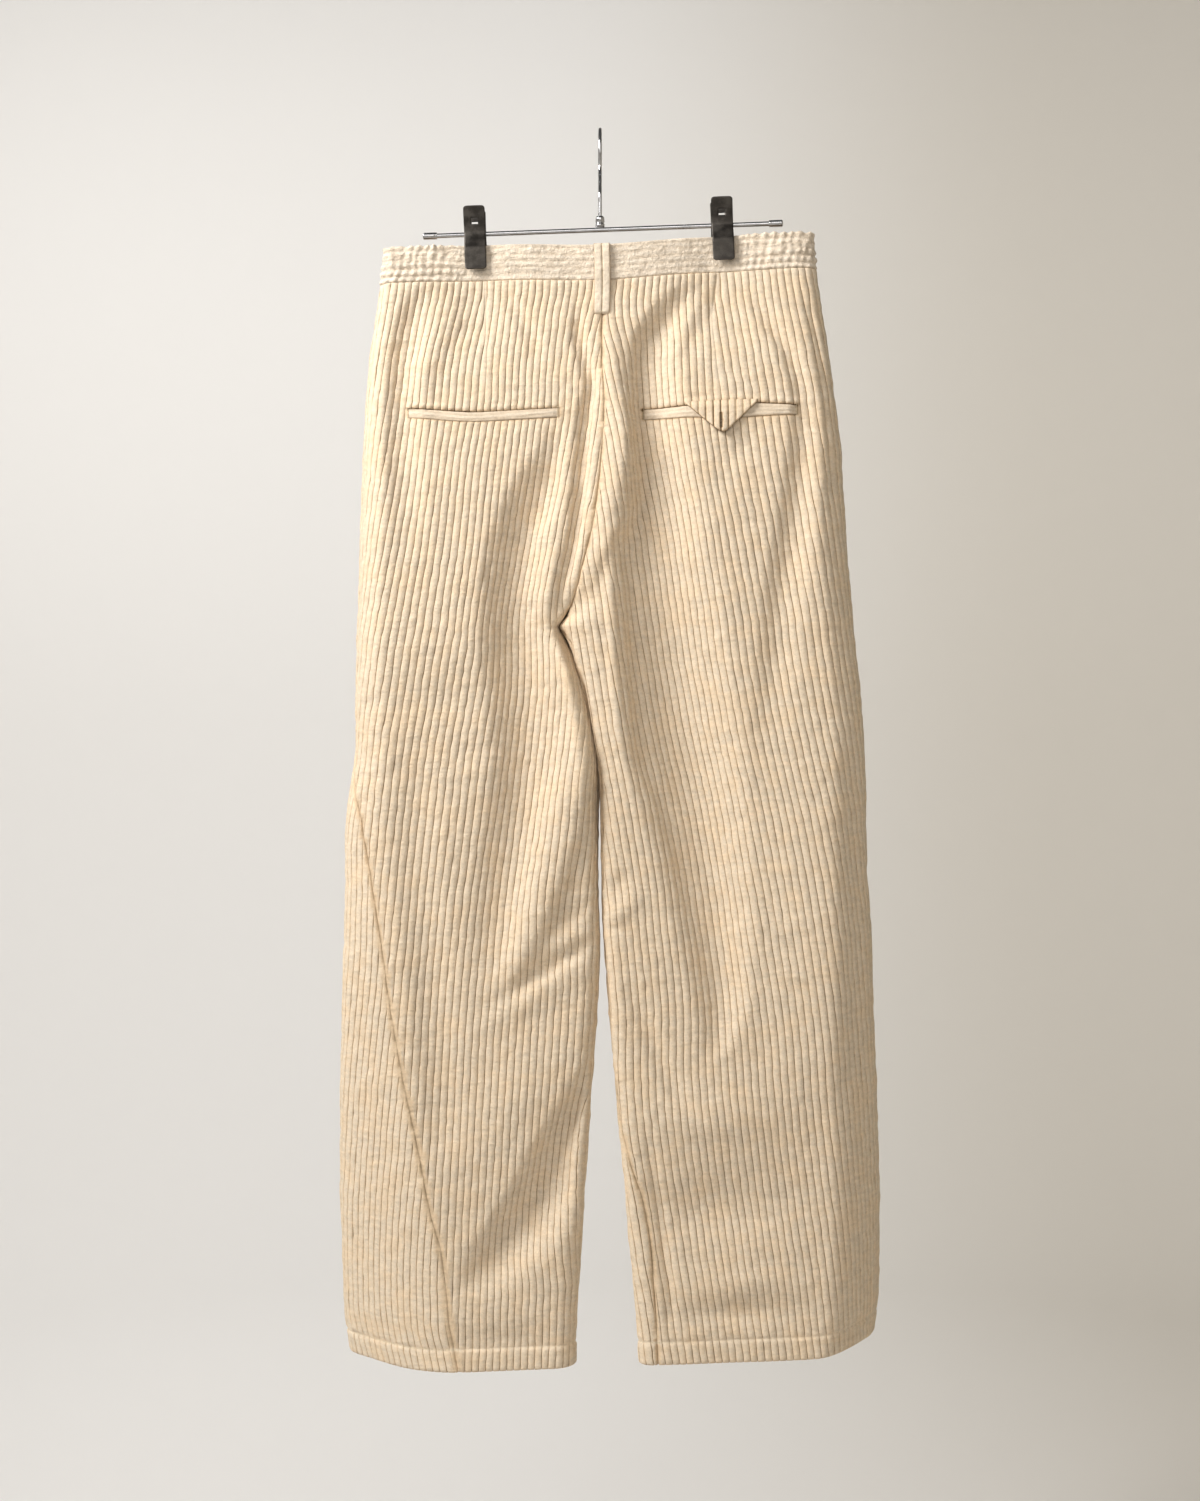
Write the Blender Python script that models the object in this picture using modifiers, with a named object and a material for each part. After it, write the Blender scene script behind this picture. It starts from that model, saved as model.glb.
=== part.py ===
"""Wide-leg corduroy trousers hanging by the waist from a two-clip hanger.

Run with: blender --background --python part.py

Metres, +Z up. The origin is the underside of the hook's crown, where a rail carries it. The back
of the trousers faces -Y, and +X is the wearer's right. The design below is in millimetres, and
each mesh is scaled to metres as it is made. A "drop" is a distance below the origin.
"""
import math

import bmesh
import bpy
import numpy as np

MM = 0.001

# ---------------------------------------------------------------- driving sizes (mm)
WAIST_TOP_DROP = 103.0
WAIST_SEAM_DROP = 137.0
CROTCH_DROP = 465.0
HEM_DROP = 1147.0

CLOTH = 1.4                # ground of the corduroy, under the wales
WALE_PITCH = 7.0
WALE_HEIGHT = 1.6
SEAM_GAP = 0.3             # between two pieces that are sewn together
HANG_LEAN = math.radians(2.1)   # the hanger hangs a little higher at the wearer's right
WAIST_DIP = 4.5            # the waist sags this much between the clips
WAIST_DIP_REACH = 70.0
WAIST_DIP_DEPTH = 130.0    # how far down the sag dies out
HEM_CURL = 5.0             # the outer corner of each hem lifts this much
HEM_CURL_FROM = 0.72       # from this share of the way out
HEM_CURL_HEIGHT = 260.0

LEFT, RIGHT = -1, 1        # the wearer's left leg is at -X
BACK, FRONT = -1, 1        # the back of the garment is at -Y

# Outer edge of each half, its depth, and how far the cloth slopes away before it.
# drop, left x, right x, y, left slope, right slope
OUTER_EDGE = (
    (103, -202, 199, 0, 20, 20),
    (137, -205, 202, 0, 22, 22),
    (175, -211, 207, 0, 26, 26),
    (215, -216, 213, -1, 30, 30),
    (260, -219, 218, -2, 34, 34),
    (310, -221, 224, -4, 36, 36),
    (400, -224, 229, -8, 40, 40),
    (465, -225, 234, -12, 42, 42),
    (530, -226, 240, -15, 44, 44),
    (570, -226, 243, -15, 46, 46),
    (610, -231, 246, -14, 48, 48),
    (660, -236, 247, -12, 52, 50),
    (760, -238, 252, -8, 62, 54),
    (900, -243, 258, 4, 82, 62),
    (1040, -244, 264, 20, 98, 72),
    (1100, -242, 264, 26, 104, 76),
    (1147, -236, 259, 30, 106, 78),
)
EDGE_ROLL = 12.0           # depth of the tight turn at the outer edge itself
EDGE_ROLL_REACH = 9.0
EDGE_ROLL_SHARE = 0.6      # the tight turn takes no more than this share of the fall
EDGE_SLOPE_POWER = 1.6     # how fast the slope behind the tight turn levels out
CALM_OUTER = 12.0          # no fold within this of the outer edge
CALM_INNER = 14.0          # or of a leg's inner edge
LEG_BLEND = 25.0           # above the crotch, where a flat seam turns into two round legs

# Depth of the back and front cloth, the front's depth beside each inseam, and the inner turns.
# drop, back y, front y, front y at the left inseam, at the right inseam, left turn, right turn
CLOTH_LEVEL = (
    (103, -9, 9, 9, 9, 40, 40),
    (137, -11, 11, 11, 11, 40, 40),
    (175, -15, 15, 15, 15, 40, 40),
    (215, -21, 20, 20, 20, 40, 40),
    (260, -28, 26, 26, 26, 40, 40),
    (310, -35, 31, 30, 30, 40, 40),
    (400, -43, 36, 33, 33, 34, 34),
    (465, -46, 38, 30, 28, 30, 30),
    (530, -47, 39, 34, 12, 45, 30),
    (610, -47, 40, 22, 2, 36, 20),
    (700, -46, 40, 0, -8, 20, 15),
    (760, -46, 40, -10, -12, 13, 13),
    (900, -45, 41, -16, -17, 12, 12),
    (1040, -43, 42, -19, -19, 11, 11),
    (1147, -42, 42, -20, -20, 10, 10),
)

# The seam that joins the two halves, waist to crotch.
# drop, x, back y, front y
CENTRE_SEAM = (
    (103, 1.5, -9, 9),
    (137, 1.5, -11, 11),
    (175, 2, -15, 15),
    (215, 2, -22, 20),
    (260, 4, -30, 26),
    (300, 2, -36, 30),
    (335, -1, -40, 32),
    (375, -7, -43, 33),
    (410, -16, -43, 26),
    (440, -24, -39, 10),
    (455, -31, -33, -8),
    (465, -38.5, -26, -26),
)

CROTCH_SPREAD = 1.4        # each inseam starts this far from the middle of the crotch
CROTCH_SPREAD_HEIGHT = 20.0
WALE_FADE = 3.0            # a wale is full this far from a seam
WALE_FADE_CROTCH = 13.0    # and this much further from the inner ends at the crotch
WALE_FADE_HEIGHT = 14.0

# The inner edge of each leg, crotch to hem. The right thigh hangs a little over the left one.
# drop, left x, left y, right x, right y
INNER_EDGE = (
    (465, -39.9, -26, -37.1, -26),
    (480, -31, -14, -27, -34),
    (500, -21.5, 2, -20.5, -37),
    (530, -11, 15, -13, -38),
    (565, -4.5, 15, -6, -38),
    (600, -0.5, 7, 0.8, -38),
    (620, -1.5, -2, 2, -38),
    (640, -2.5, -12, 3, -38),
    (700, -2.5, -26, 3, -37),
    (760, -1, -32, 5, -37),
    (850, -6, -35, 12, -36),
    (900, -9, -35, 16.5, -36),
    (1000, -17, -34, 25.5, -34),
    (1080, -21.5, -33, 33, -33),
    (1147, -23.5, -32, 38, -32),
)

# How far each leg has turned on its seams: the distance round the leg from its outer edge to the
# outseam, and from its inner edge to the inseam. A positive one lies on the back.
# drop, left outseam, left inseam, right outseam, right inseam
SEAM_SHIFT = (
    (103, 0, 0, 0, 0),
    (550, 0, 0, 0, 0),
    (600, 12, -8, 0, 0),
    (640, 30, -26, -2, 0),
    (730, 49, -54, -4, 0),
    (810, 64, -68, -6, 0),
    (885, 82, -84, -8, 0),
    (950, 99, -99, -10, 8),
    (1000, 111, -110, -12, 19),
    (1045, 124, -120, -12, 22),
    (1147, 134, -128, -12, 21),
)

# Folds of the back. Each row: drop, x, width to the left, width to the right, depth.
# A negative depth is a ridge.
BACK_FOLDS = {
    "left_side": (
        (150, -186, 14, 16, 0), (190, -190, 14, 18, 5), (290, -189, 14, 18, 6),
        (400, -179, 14, 18, 3), (450, -174, 14, 18, 0)),
    "left_hip_ridge": (
        (145, -130, 20, 20, 0), (175, -142, 22, 22, -4), (225, -170, 18, 18, -4),
        (270, -172, 16, 16, 0)),
    "left_seat": (
        (180, -36, 20, 12, 0), (260, -42, 30, 12, 4), (330, -52, 36, 18, 9),
        (400, -72, 40, 30, 11), (470, -72, 38, 30, 10), (540, -60, 38, 30, 9),
        (600, -62, 38, 30, 9), (660, -72, 38, 34, 8), (720, -88, 36, 36, 6),
        (770, -105, 30, 30, 0)),
    "beside_seam": (
        (150, -22, 9, 9, 0), (223, -18, 9, 8, 4), (306, -20, 9, 8, 4),
        (397, -28, 9, 8, 3), (425, -34, 9, 8, 0)),
    "seam_ridge": (
        (190, 10, 14, 12, 0), (260, 16, 16, 13, -5), (330, 20, 18, 14, -7),
        (380, 14, 16, 14, -5), (425, 0, 14, 12, 0)),
    "right_seat": (
        (150, 68, 18, 24, 0), (207, 40, 14, 26, 8), (234, 35, 12, 28, 11),
        (289, 38, 13, 30, 14), (335, 42, 15, 32, 15), (381, 37, 18, 36, 13),
        (444, 30, 20, 38, 10), (537, 45, 22, 36, 9), (629, 60, 24, 36, 8),
        (693, 80, 26, 32, 7), (767, 93, 22, 28, 7), (813, 97, 18, 22, 7),
        (868, 95, 14, 14, 0)),
    "right_side": (
        (140, 134, 12, 14, 0), (184, 156, 12, 14, 5), (244, 184, 12, 14, 6),
        (313, 184, 12, 16, 6), (404, 169, 12, 18, 5), (495, 157, 12, 18, 4),
        (560, 150, 12, 18, 0)),
    "left_knee_ridge": (
        (590, -20, 18, 14, 0), (640, -40, 20, 20, -5), (697, -60, 20, 22, -7),
        (752, -72, 20, 22, -7), (810, -78, 18, 18, 0)),
    "left_calf": (
        (850, -14, 10, 8, 0), (910, -24, 26, 14, 5), (946, -42, 30, 20, 8),
        (991, -62, 32, 24, 9), (1027, -84, 32, 26, 8), (1075, -116, 28, 24, 0)),
    "right_thigh_ridge": (
        (540, 165, 50, 48, 0), (640, 168, 52, 48, -6), (760, 160, 52, 48, -7),
        (860, 142, 46, 46, -5), (920, 130, 40, 40, 0)),
    "right_knee": (
        (730, 16, 8, 10, 0), (790, 32, 9, 12, 5), (858, 56, 10, 14, 5),
        (910, 75, 10, 12, 0)),
}

# Folds of the front, plainer than the back's.
FRONT_FOLDS = {
    "left_crease": (
        (300, -105, 26, 26, 0), (420, -112, 30, 30, -6), (700, -120, 34, 34, -7),
        (1000, -126, 34, 34, -6), (1147, -128, 34, 34, -5)),
    "right_crease": (
        (300, 108, 26, 26, 0), (430, 118, 30, 30, -6), (720, 134, 34, 34, -7),
        (1010, 148, 34, 34, -6), (1147, 150, 34, 34, -5)),
    "left_hip": (
        (160, -150, 20, 26, 0), (250, -168, 20, 26, 6), (420, -170, 20, 26, 4),
        (520, -168, 20, 26, 0)),
    "right_hip": (
        (150, 138, 24, 20, 0), (240, 164, 24, 20, 7), (380, 172, 24, 20, 5),
        (500, 170, 24, 20, 0)),
    "left_fork": (
        (340, -30, 22, 14, 0), (420, -62, 26, 20, 7), (520, -84, 26, 24, 6),
        (620, -96, 24, 24, 0)),
    "right_fork": (
        (330, 32, 14, 22, 0), (410, 46, 20, 28, 8), (520, 62, 24, 28, 7),
        (640, 78, 24, 24, 0)),
}

# The drops at which each leg panel has a row of points.
PANEL_ROWS = (215, 270, 335, 400, 440, CROTCH_DROP, 530, 620, 760, 900, 1030)

# Elastic gathers at both ends of the back waistband.
GATHER_REACH = 69.0
GATHER_PITCH = 8.6
GATHER_HEIGHT = 1.5
GATHER_AT_EDGE = 0.4       # share of it that the band's edges keep
BAND_CLOTH = 2.2           # the band is folded double
BAND_WALE_HEIGHT = 0.6
BAND_WALES = 3
WAIST_HALF = 418.0         # round the back from side seam to side seam

CLIP_X = (-117.3, 114.7)
CLIP_SQUEEZE = 0.6         # share of the waist's depth that a clip presses out
CLIP_SQUEEZE_REACH = 34.0
CLIP_SQUEEZE_HEIGHT = 95.0

LOOP_WIDTH = 14.8
LOOP_LENGTH = 68.0
LOOP_CLOTH = 1.3
LOOP_WALE_HEIGHT = 0.7
LOOP_BOW = 1.2
LOOP_X = (-78.0, 1.5, 81.0)     # front left, centre back, front right

POCKET_DROP = 262.0
LEFT_POCKET_X = (-177.0, -40.0)
RIGHT_POCKET_X = (42.0, 181.0)
WELT_DEPTH = 9.5
WELT_CLOTH = 1.6
FLAP_TOP_X = (79.0, 146.0)
FLAP_TIP_X = 115.0
FLAP_LENGTH = 33.0
FLAP_POINT = 0.94          # the tip is cut off at this share of the length
FLAP_CLOTH = 1.5
FLAP_WALE_HEIGHT = 0.8
BUTTONHOLE = (1.2, 13.0)   # width, length
BUTTON_RADIUS = 7.0
BUTTON_THICKNESS = 2.2
POCKET_BUTTON_X = 112.0
POCKET_BUTTON_DROP = 281.0
WAIST_BUTTON_X = -14.0

# Hanger.
WIRE_DIAMETER = 3.5
HOOK_INSIDE_RADIUS = 22.0
HOOK_TIP_ANGLE = 128.0
HOOK_NECK_ANGLE = 135.0
HOOK_NECK_BEND = 12.0
BAR_DROP = 91.7
BAR_RADIUS = 2.25
BAR_ENDS = (-163.0, 168.5)
CAP_RADIUS = 3.3
CAP_LENGTH = 13.2
CAP_END = 3.4              # solid end past the bar
CAP_BEVEL = 1.2
FERRULE_RADIUS = 4.4
FERRULE_TOP_DROP = 79.0
CLIP_WIDTH = 20.2
CLIP_TOP = 25.0            # above the bar
CLIP_BOTTOM = 35.0         # below the bar
CLIP_PLATE = 1.2
CLIP_HOLE = (6.6, 5.6)
CLIP_HOLE_ABOVE_BAR = 11.0
CLIP_HOLE_DEPTH = 8.0      # its plate stands about this far from the middle plane there
CLIP_CORNER = 3.0
CLIP_HEEL = 9.0            # how far the tops of the plates stand from the middle plane
CLIP_HEIGHTS = (-35, -33, -31, -24, -15, -7.5, 0, 6, 13, 19, 22.5, 25)
BARREL_RADIUS = 4.2
BARREL_LENGTH = 16.0
CLEARANCE = 0.3

# Base colour, roughness, metallic.
CORDUROY = ((0.78, 0.67, 0.49), 0.9, 0.0)
CORDUROY_BAND = ((0.80, 0.70, 0.52), 0.9, 0.0)
BUTTON_HORN = ((0.62, 0.5, 0.34), 0.35, 0.0)
CHROME = ((0.72, 0.72, 0.73), 0.12, 1.0)
DARK_CHROME = ((0.35, 0.35, 0.36), 0.15, 1.0)


# ---------------------------------------------------------------- smooth curves through tables
def column(table, index):
    """One column of a table as an array."""
    return np.array([row[index] for row in table], dtype=float)


def knot_slopes(knots, values):
    """Slopes at a table's rows that let a curve pass through them with no overshoot."""
    chord = np.diff(values) / np.diff(knots)
    before, after = chord[:-1], chord[1:]
    same_way = before * after > 0
    total = np.where(same_way, before + after, 1)
    middle = np.where(same_way, 2 * before * after / total, 0)
    return np.concatenate([[chord[0]], middle, [chord[-1]]])


def through(table, index, drop):
    """A smooth curve through one column of a table, read at any drop."""
    knots = column(table, 0)
    values = column(table, index)
    slopes = knot_slopes(knots, values)
    drop = np.clip(np.asarray(drop, dtype=float), knots[0], knots[-1])
    cell = np.clip(np.searchsorted(knots, drop) - 1, 0, len(knots) - 2)
    span = knots[cell + 1] - knots[cell]
    t = (drop - knots[cell]) / span
    rise = t * t * (3 - 2 * t)
    return (values[cell] * (1 - rise) + values[cell + 1] * rise
            + span * slopes[cell] * t * (1 - t) ** 2
            - span * slopes[cell + 1] * t * t * (1 - t))


def smoothstep(low, high, value):
    """0 below low, 1 above high, and smooth between."""
    t = np.clip((np.asarray(value, dtype=float) - low) / (high - low), 0, 1)
    return t * t * (3 - 2 * t)


def round_turn(t):
    """1 at an edge, 0 from t = 1 on, along a quarter of an ellipse."""
    t = np.clip(t, 0, 1)
    return 1 - np.sqrt(1 - (1 - t) ** 2)


def soft_turn(t):
    """1 at an edge, 0 from t = 1 on, level at both ends."""
    return 0.5 + 0.5 * np.cos(np.pi * np.clip(t, 0, 1))


# ---------------------------------------------------------------- the shape of the cloth
def edges(side, face, drop):
    """Outer and inner end of one half of a ring: x and y of each."""
    outer_x = through(OUTER_EDGE, 1 if side == LEFT else 2, drop)
    outer_y = through(OUTER_EDGE, 3, drop)
    if drop < CROTCH_DROP:
        inner_x = through(CENTRE_SEAM, 1, drop)
        spread = smoothstep(CROTCH_DROP - CROTCH_SPREAD_HEIGHT, CROTCH_DROP, drop)
        inner_x = inner_x + side * CROTCH_SPREAD * spread
        inner_y = through(CENTRE_SEAM, 2 if face == BACK else 3, drop)
    else:
        inner_x = through(INNER_EDGE, 1 if side == LEFT else 3, drop)
        inner_y = through(INNER_EDGE, 2 if side == LEFT else 4, drop)
    return float(outer_x), float(outer_y), float(inner_x), float(inner_y)


def fold_depth(folds, x, drop):
    """Sum of the folds at points of one row, along +Y."""
    depth = np.zeros_like(x)
    for rows in folds.values():
        if not rows[0][0] < drop < rows[-1][0]:
            continue
        offset = x - through(rows, 1, drop)
        width = np.where(offset < 0, through(rows, 2, drop), through(rows, 3, drop))
        inside = np.clip(1 - (offset / width) ** 2, 0, 1)
        depth += through(rows, 4, drop) * inside ** 2
    return depth


def cloth_y(side, face, x, drop):
    """Depth of the cloth at points x of one row."""
    outer_x, outer_y, inner_x, inner_y = edges(side, face, drop)
    width = abs(inner_x - outer_x)
    from_outer = np.abs(x - outer_x)
    from_inner = width - from_outer
    outer_turn = float(through(OUTER_EDGE, 4 if side == LEFT else 5, drop))
    inner_turn = float(through(CLOTH_LEVEL, 5 if side == LEFT else 6, drop))
    if face == BACK:
        level = np.full_like(x, float(through(CLOTH_LEVEL, 1, drop)))
        folds = fold_depth(BACK_FOLDS, x, drop)
    else:
        start = float(through(CLOTH_LEVEL, 2, drop))
        end = float(through(CLOTH_LEVEL, 3 if side == LEFT else 4, drop))
        level = start + (end - start) * from_outer / width
        folds = -fold_depth(FRONT_FOLDS, x, drop)
    level_outer = level[np.argmin(from_outer)]
    level_inner = level[np.argmin(from_inner)]
    legs = smoothstep(CROTCH_DROP - LEG_BLEND, CROTCH_DROP, drop)
    inner_shape = ((1 - legs) * soft_turn(from_inner / inner_turn)
                   + legs * round_turn(from_inner / inner_turn))
    fall = outer_y - level_outer
    roll = np.sign(fall) * min(EDGE_ROLL, EDGE_ROLL_SHARE * abs(fall))
    slope = (1 - np.clip(from_outer / outer_turn, 0, 1)) ** EDGE_SLOPE_POWER
    y = (level + roll * round_turn(from_outer / EDGE_ROLL_REACH) + (fall - roll) * slope
         + (inner_y - level_inner) * inner_shape)
    calm_inner = 1 - legs + legs * smoothstep(0, CALM_INNER, from_inner)
    y = y + folds * smoothstep(0, CALM_OUTER, from_outer) * calm_inner
    squeeze = sum(np.exp(-((x - clip) / CLIP_SQUEEZE_REACH) ** 2) for clip in CLIP_X)
    near_waist = 1 - smoothstep(WAIST_SEAM_DROP, WAIST_SEAM_DROP + CLIP_SQUEEZE_HEIGHT, drop)
    return y * (1 - CLIP_SQUEEZE * squeeze * near_waist)


class Ring:
    """The cloth of one leg or one half of the seat at one drop, measured round its surface.

    A distance is 0 at the outer edge, grows along the back to the inner end and falls below 0
    along the front. Below the crotch the ring closes and distances wrap.
    """

    SAMPLES = 400

    def __init__(self, side, drop):
        self.drop = float(drop)
        self.legs = drop >= CROTCH_DROP
        share = (1 - np.cos(np.pi * np.linspace(0, 1, self.SAMPLES))) / 2
        lines = []
        for face in (FRONT, BACK):
            outer_x, _, inner_x, _ = edges(side, face, drop)
            x = outer_x + (inner_x - outer_x) * share
            y = cloth_y(side, face, x, drop)
            lines.append(np.column_stack([x, y]))
        self.points = np.vstack([lines[0][::-1], lines[1][1:]])
        steps = np.linalg.norm(np.diff(self.points, axis=0), axis=1)
        walked = np.concatenate([[0], np.cumsum(steps)])
        self.distance = walked - walked[self.SAMPLES - 1]
        self.front_end = self.distance[0]
        self.back_end = self.distance[-1]
        self.length = self.back_end - self.front_end
        self.side = side

    def at(self, distance):
        """Points at distances round the ring."""
        distance = np.asarray(distance, dtype=float)
        if self.legs:
            distance = self.front_end + (distance - self.front_end) % self.length
        x = np.interp(distance, self.distance, self.points[:, 0])
        y = np.interp(distance, self.distance, self.points[:, 1])
        return np.column_stack([x, y])

    def outward(self, distance):
        """Outward directions at distances round the ring."""
        step = 0.6
        distance = np.asarray(distance, dtype=float)
        if self.legs:
            ahead = self.at(distance + step)
            behind = self.at(distance - step)
        else:
            ahead = self.at(np.minimum(distance + step, self.back_end))
            behind = self.at(np.maximum(distance - step, self.front_end))
        along = ahead - behind
        along /= np.linalg.norm(along, axis=1)[:, None]
        return np.column_stack([along[:, 1], -along[:, 0]]) * -self.side

    def span(self, face):
        """Where a panel starts and ends round the ring, with its share of each seam gap."""
        outseam = float(through(SEAM_SHIFT, 1 if self.side == LEFT else 3, self.drop))
        inseam = float(through(SEAM_SHIFT, 2 if self.side == LEFT else 4, self.drop))
        if face == BACK:
            return outseam + SEAM_GAP / 2, self.back_end - inseam - SEAM_GAP / 2
        return self.front_end - inseam + SEAM_GAP / 2, outseam - SEAM_GAP / 2


def hang(x, y, drop):
    """Points of the garment where it hangs: the waist dips, the hems curl, all of it leans."""
    x = np.asarray(x, dtype=float)
    y = np.asarray(y, dtype=float)
    drop = np.asarray(drop, dtype=float) + 0 * x
    near_waist = 1 - smoothstep(WAIST_SEAM_DROP, WAIST_SEAM_DROP + WAIST_DIP_DEPTH, drop)
    dip = WAIST_DIP * np.exp(-(x / WAIST_DIP_REACH) ** 2) * near_waist
    near_hem = smoothstep(HEM_DROP - HEM_CURL_HEIGHT, HEM_DROP, drop)
    _, left_end, right_end = OUTER_EDGE[-1][:3]
    share_out = np.where(x < 0, x / left_end, x / right_end)
    curl = HEM_CURL * smoothstep(HEM_CURL_FROM, 1.0, share_out) * near_hem
    z = -drop - dip + curl + np.tan(HANG_LEAN) * x
    return np.column_stack([x, y, z]) * MM


def wale_fade(ring, distance, start, end):
    """How much of their height the wales keep: none at a seam, all of it away from one."""
    at_seams = smoothstep(0, WALE_FADE, distance - start) * smoothstep(0, WALE_FADE, end - distance)
    near_crotch = math.exp(-((ring.drop - CROTCH_DROP) / WALE_FADE_HEIGHT) ** 2)
    to_inner = np.minimum(ring.back_end - distance, distance - ring.front_end)
    at_inner = smoothstep(0, WALE_FADE + WALE_FADE_CROTCH * near_crotch, np.abs(to_inner))
    return at_seams * (1 - near_crotch + near_crotch * at_inner)


# ---------------------------------------------------------------- meshes
def add_object(name, vertices, faces, finish):
    """A mesh object with its own material, its faces turned outwards."""
    mesh = bpy.data.meshes.new(name)
    mesh.from_pydata([tuple(vertex) for vertex in vertices], [], faces)
    made = bmesh.new()
    made.from_mesh(mesh)
    bmesh.ops.recalc_face_normals(made, faces=made.faces)
    made.to_mesh(mesh)
    made.free()
    return finish_object(bpy.data.objects.new(name, mesh), finish)


def finish_object(thing, finish):
    """Put an object in the trousers' collection and give it a material of its own."""
    colour, roughness, metallic = finish
    material = bpy.data.materials.new(thing.name)
    material.use_nodes = True
    shader = material.node_tree.nodes["Principled BSDF"]
    shader.inputs["Base Color"].default_value = (*colour, 1)
    shader.inputs["Roughness"].default_value = roughness
    shader.inputs["Metallic"].default_value = metallic
    thing.data.materials.clear()
    thing.data.materials.append(material)
    PIECES.objects.link(thing)
    return thing


def distinct(loop):
    """A face's corners without a corner that repeats its neighbour."""
    return [corner for place, corner in enumerate(loop) if corner != loop[place - 1]]


class Sheet:
    """One face of a cloth wall: rows of points, each row from one seam to the other."""

    def __init__(self, rows):
        """Each row is (keys, points): whole-number columns between two end points."""
        self.vertices = []
        self.rows = []
        for keys, points in rows:
            first = sum(len(done) for done in self.vertices)
            self.vertices.append(points)
            self.rows.append((keys, first, len(points)))

    def corner(self, row, key):
        """The point of a row at a column, or the row's end where the column is cut off."""
        keys, first, count = self.rows[row]
        place = int(np.searchsorted(keys, key))
        if place < len(keys) and keys[place] == key:
            return first + 1 + place
        return first if place == 0 else first + count - 1

    def line(self, row):
        """All the points of a row."""
        _, first, count = self.rows[row]
        return list(range(first, first + count))

    def faces(self, offset):
        """Quads between the rows, and triangles where a column ends on a seam."""
        low = min(keys[0] for keys, _, _ in self.rows) - 1
        high = max(keys[-1] for keys, _, _ in self.rows) + 1
        made = []
        for row in range(len(self.rows) - 1):
            for key in self.columns(row, low, high):
                after = self.next_key(row, key, high)
                loop = distinct([self.corner(row, key), self.corner(row, after),
                                 self.corner(row + 1, after), self.corner(row + 1, key)])
                if len(loop) > 2:
                    made.append([corner + offset for corner in loop])
        return made

    def columns(self, row, low, high):
        """The columns that either of two neighbouring rows has, from one end to the other."""
        both = set(self.rows[row][0]) | set(self.rows[row + 1][0]) | {low}
        return sorted(int(key) for key in both if key < high)

    def next_key(self, row, key, high):
        """The column after a key in either of two neighbouring rows."""
        both = sorted(set(self.rows[row][0]) | set(self.rows[row + 1][0]) | {high})
        return int(next(other for other in both if other > key))


def zip_lines(first, second, first_places, second_places):
    """Triangles between two lines of corners, walked side by side by their places."""
    made = []
    i = j = 0
    while i < len(first) - 1 or j < len(second) - 1:
        take_first = j == len(second) - 1 or (
            i < len(first) - 1 and first_places[i + 1] <= second_places[j + 1])
        if take_first:
            made.append([first[i], first[i + 1], second[j]])
            i += 1
        else:
            made.append([first[i], second[j + 1], second[j]])
            j += 1
    return made


def add_wall(name, outer_rows, inner_rows, outer_places, inner_places, finish):
    """A closed wall of cloth from the rows of its outer and its inner face."""
    outer = Sheet(outer_rows)
    inner = Sheet(inner_rows)
    shift = sum(len(points) for points in outer.vertices)
    faces = outer.faces(0) + inner.faces(shift)
    for row in (0, len(outer.rows) - 1):
        inner_line = [corner + shift for corner in inner.line(row)]
        faces += zip_lines(outer.line(row), inner_line, outer_places[row], inner_places[row])
    for row in range(len(outer.rows) - 1):
        for end in (0, -1):
            faces.append([outer.line(row)[end], outer.line(row + 1)[end],
                          inner.line(row + 1)[end] + shift, inner.line(row)[end] + shift])
    vertices = np.vstack(outer.vertices + inner.vertices)
    return add_object(name, vertices, faces, finish)


# ---------------------------------------------------------------- the leg panels
def panel_row(ring, face, columns_per_wale, height):
    """One row of a panel: its columns, its points and their places round the ring."""
    start, end = ring.span(face)
    step = WALE_PITCH / columns_per_wale
    keys = np.arange(math.ceil((start + 1.2) / step), math.floor((end - 1.2) / step) + 1)
    places = np.concatenate([[start], keys * step, [end]])
    points = ring.at(places)
    outward = ring.outward(places)
    points = points + outward * height(keys, places, ring, start, end)[:, None]
    return keys, hang(points[:, 0], points[:, 1], ring.drop), places


def wale_height(keys, places, ring, start, end):
    """Every second column is the crest of a wale."""
    crest = np.concatenate([[0], keys % 2, [0]]).astype(float)
    return WALE_HEIGHT * crest * wale_fade(ring, places, start, end)


def plain_inside(keys, places, ring, start, end):
    """The inner face lies one ground of cloth inside the grooves."""
    return np.full(len(places), -CLOTH)


def add_leg_panel(name, side, face):
    """One leg panel from the waist seam to the hem, with wales raised on its outer face."""
    drops = (WAIST_SEAM_DROP + SEAM_GAP / 2, *PANEL_ROWS, HEM_DROP)
    rings = [Ring(side, drop) for drop in drops]
    outer = [panel_row(ring, face, 2, wale_height) for ring in rings]
    inner = [panel_row(ring, face, 1, plain_inside) for ring in rings]
    return add_wall(name, [row[:2] for row in outer], [row[:2] for row in inner],
                    [row[2] for row in outer], [row[2] for row in inner], CORDUROY)


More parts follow.
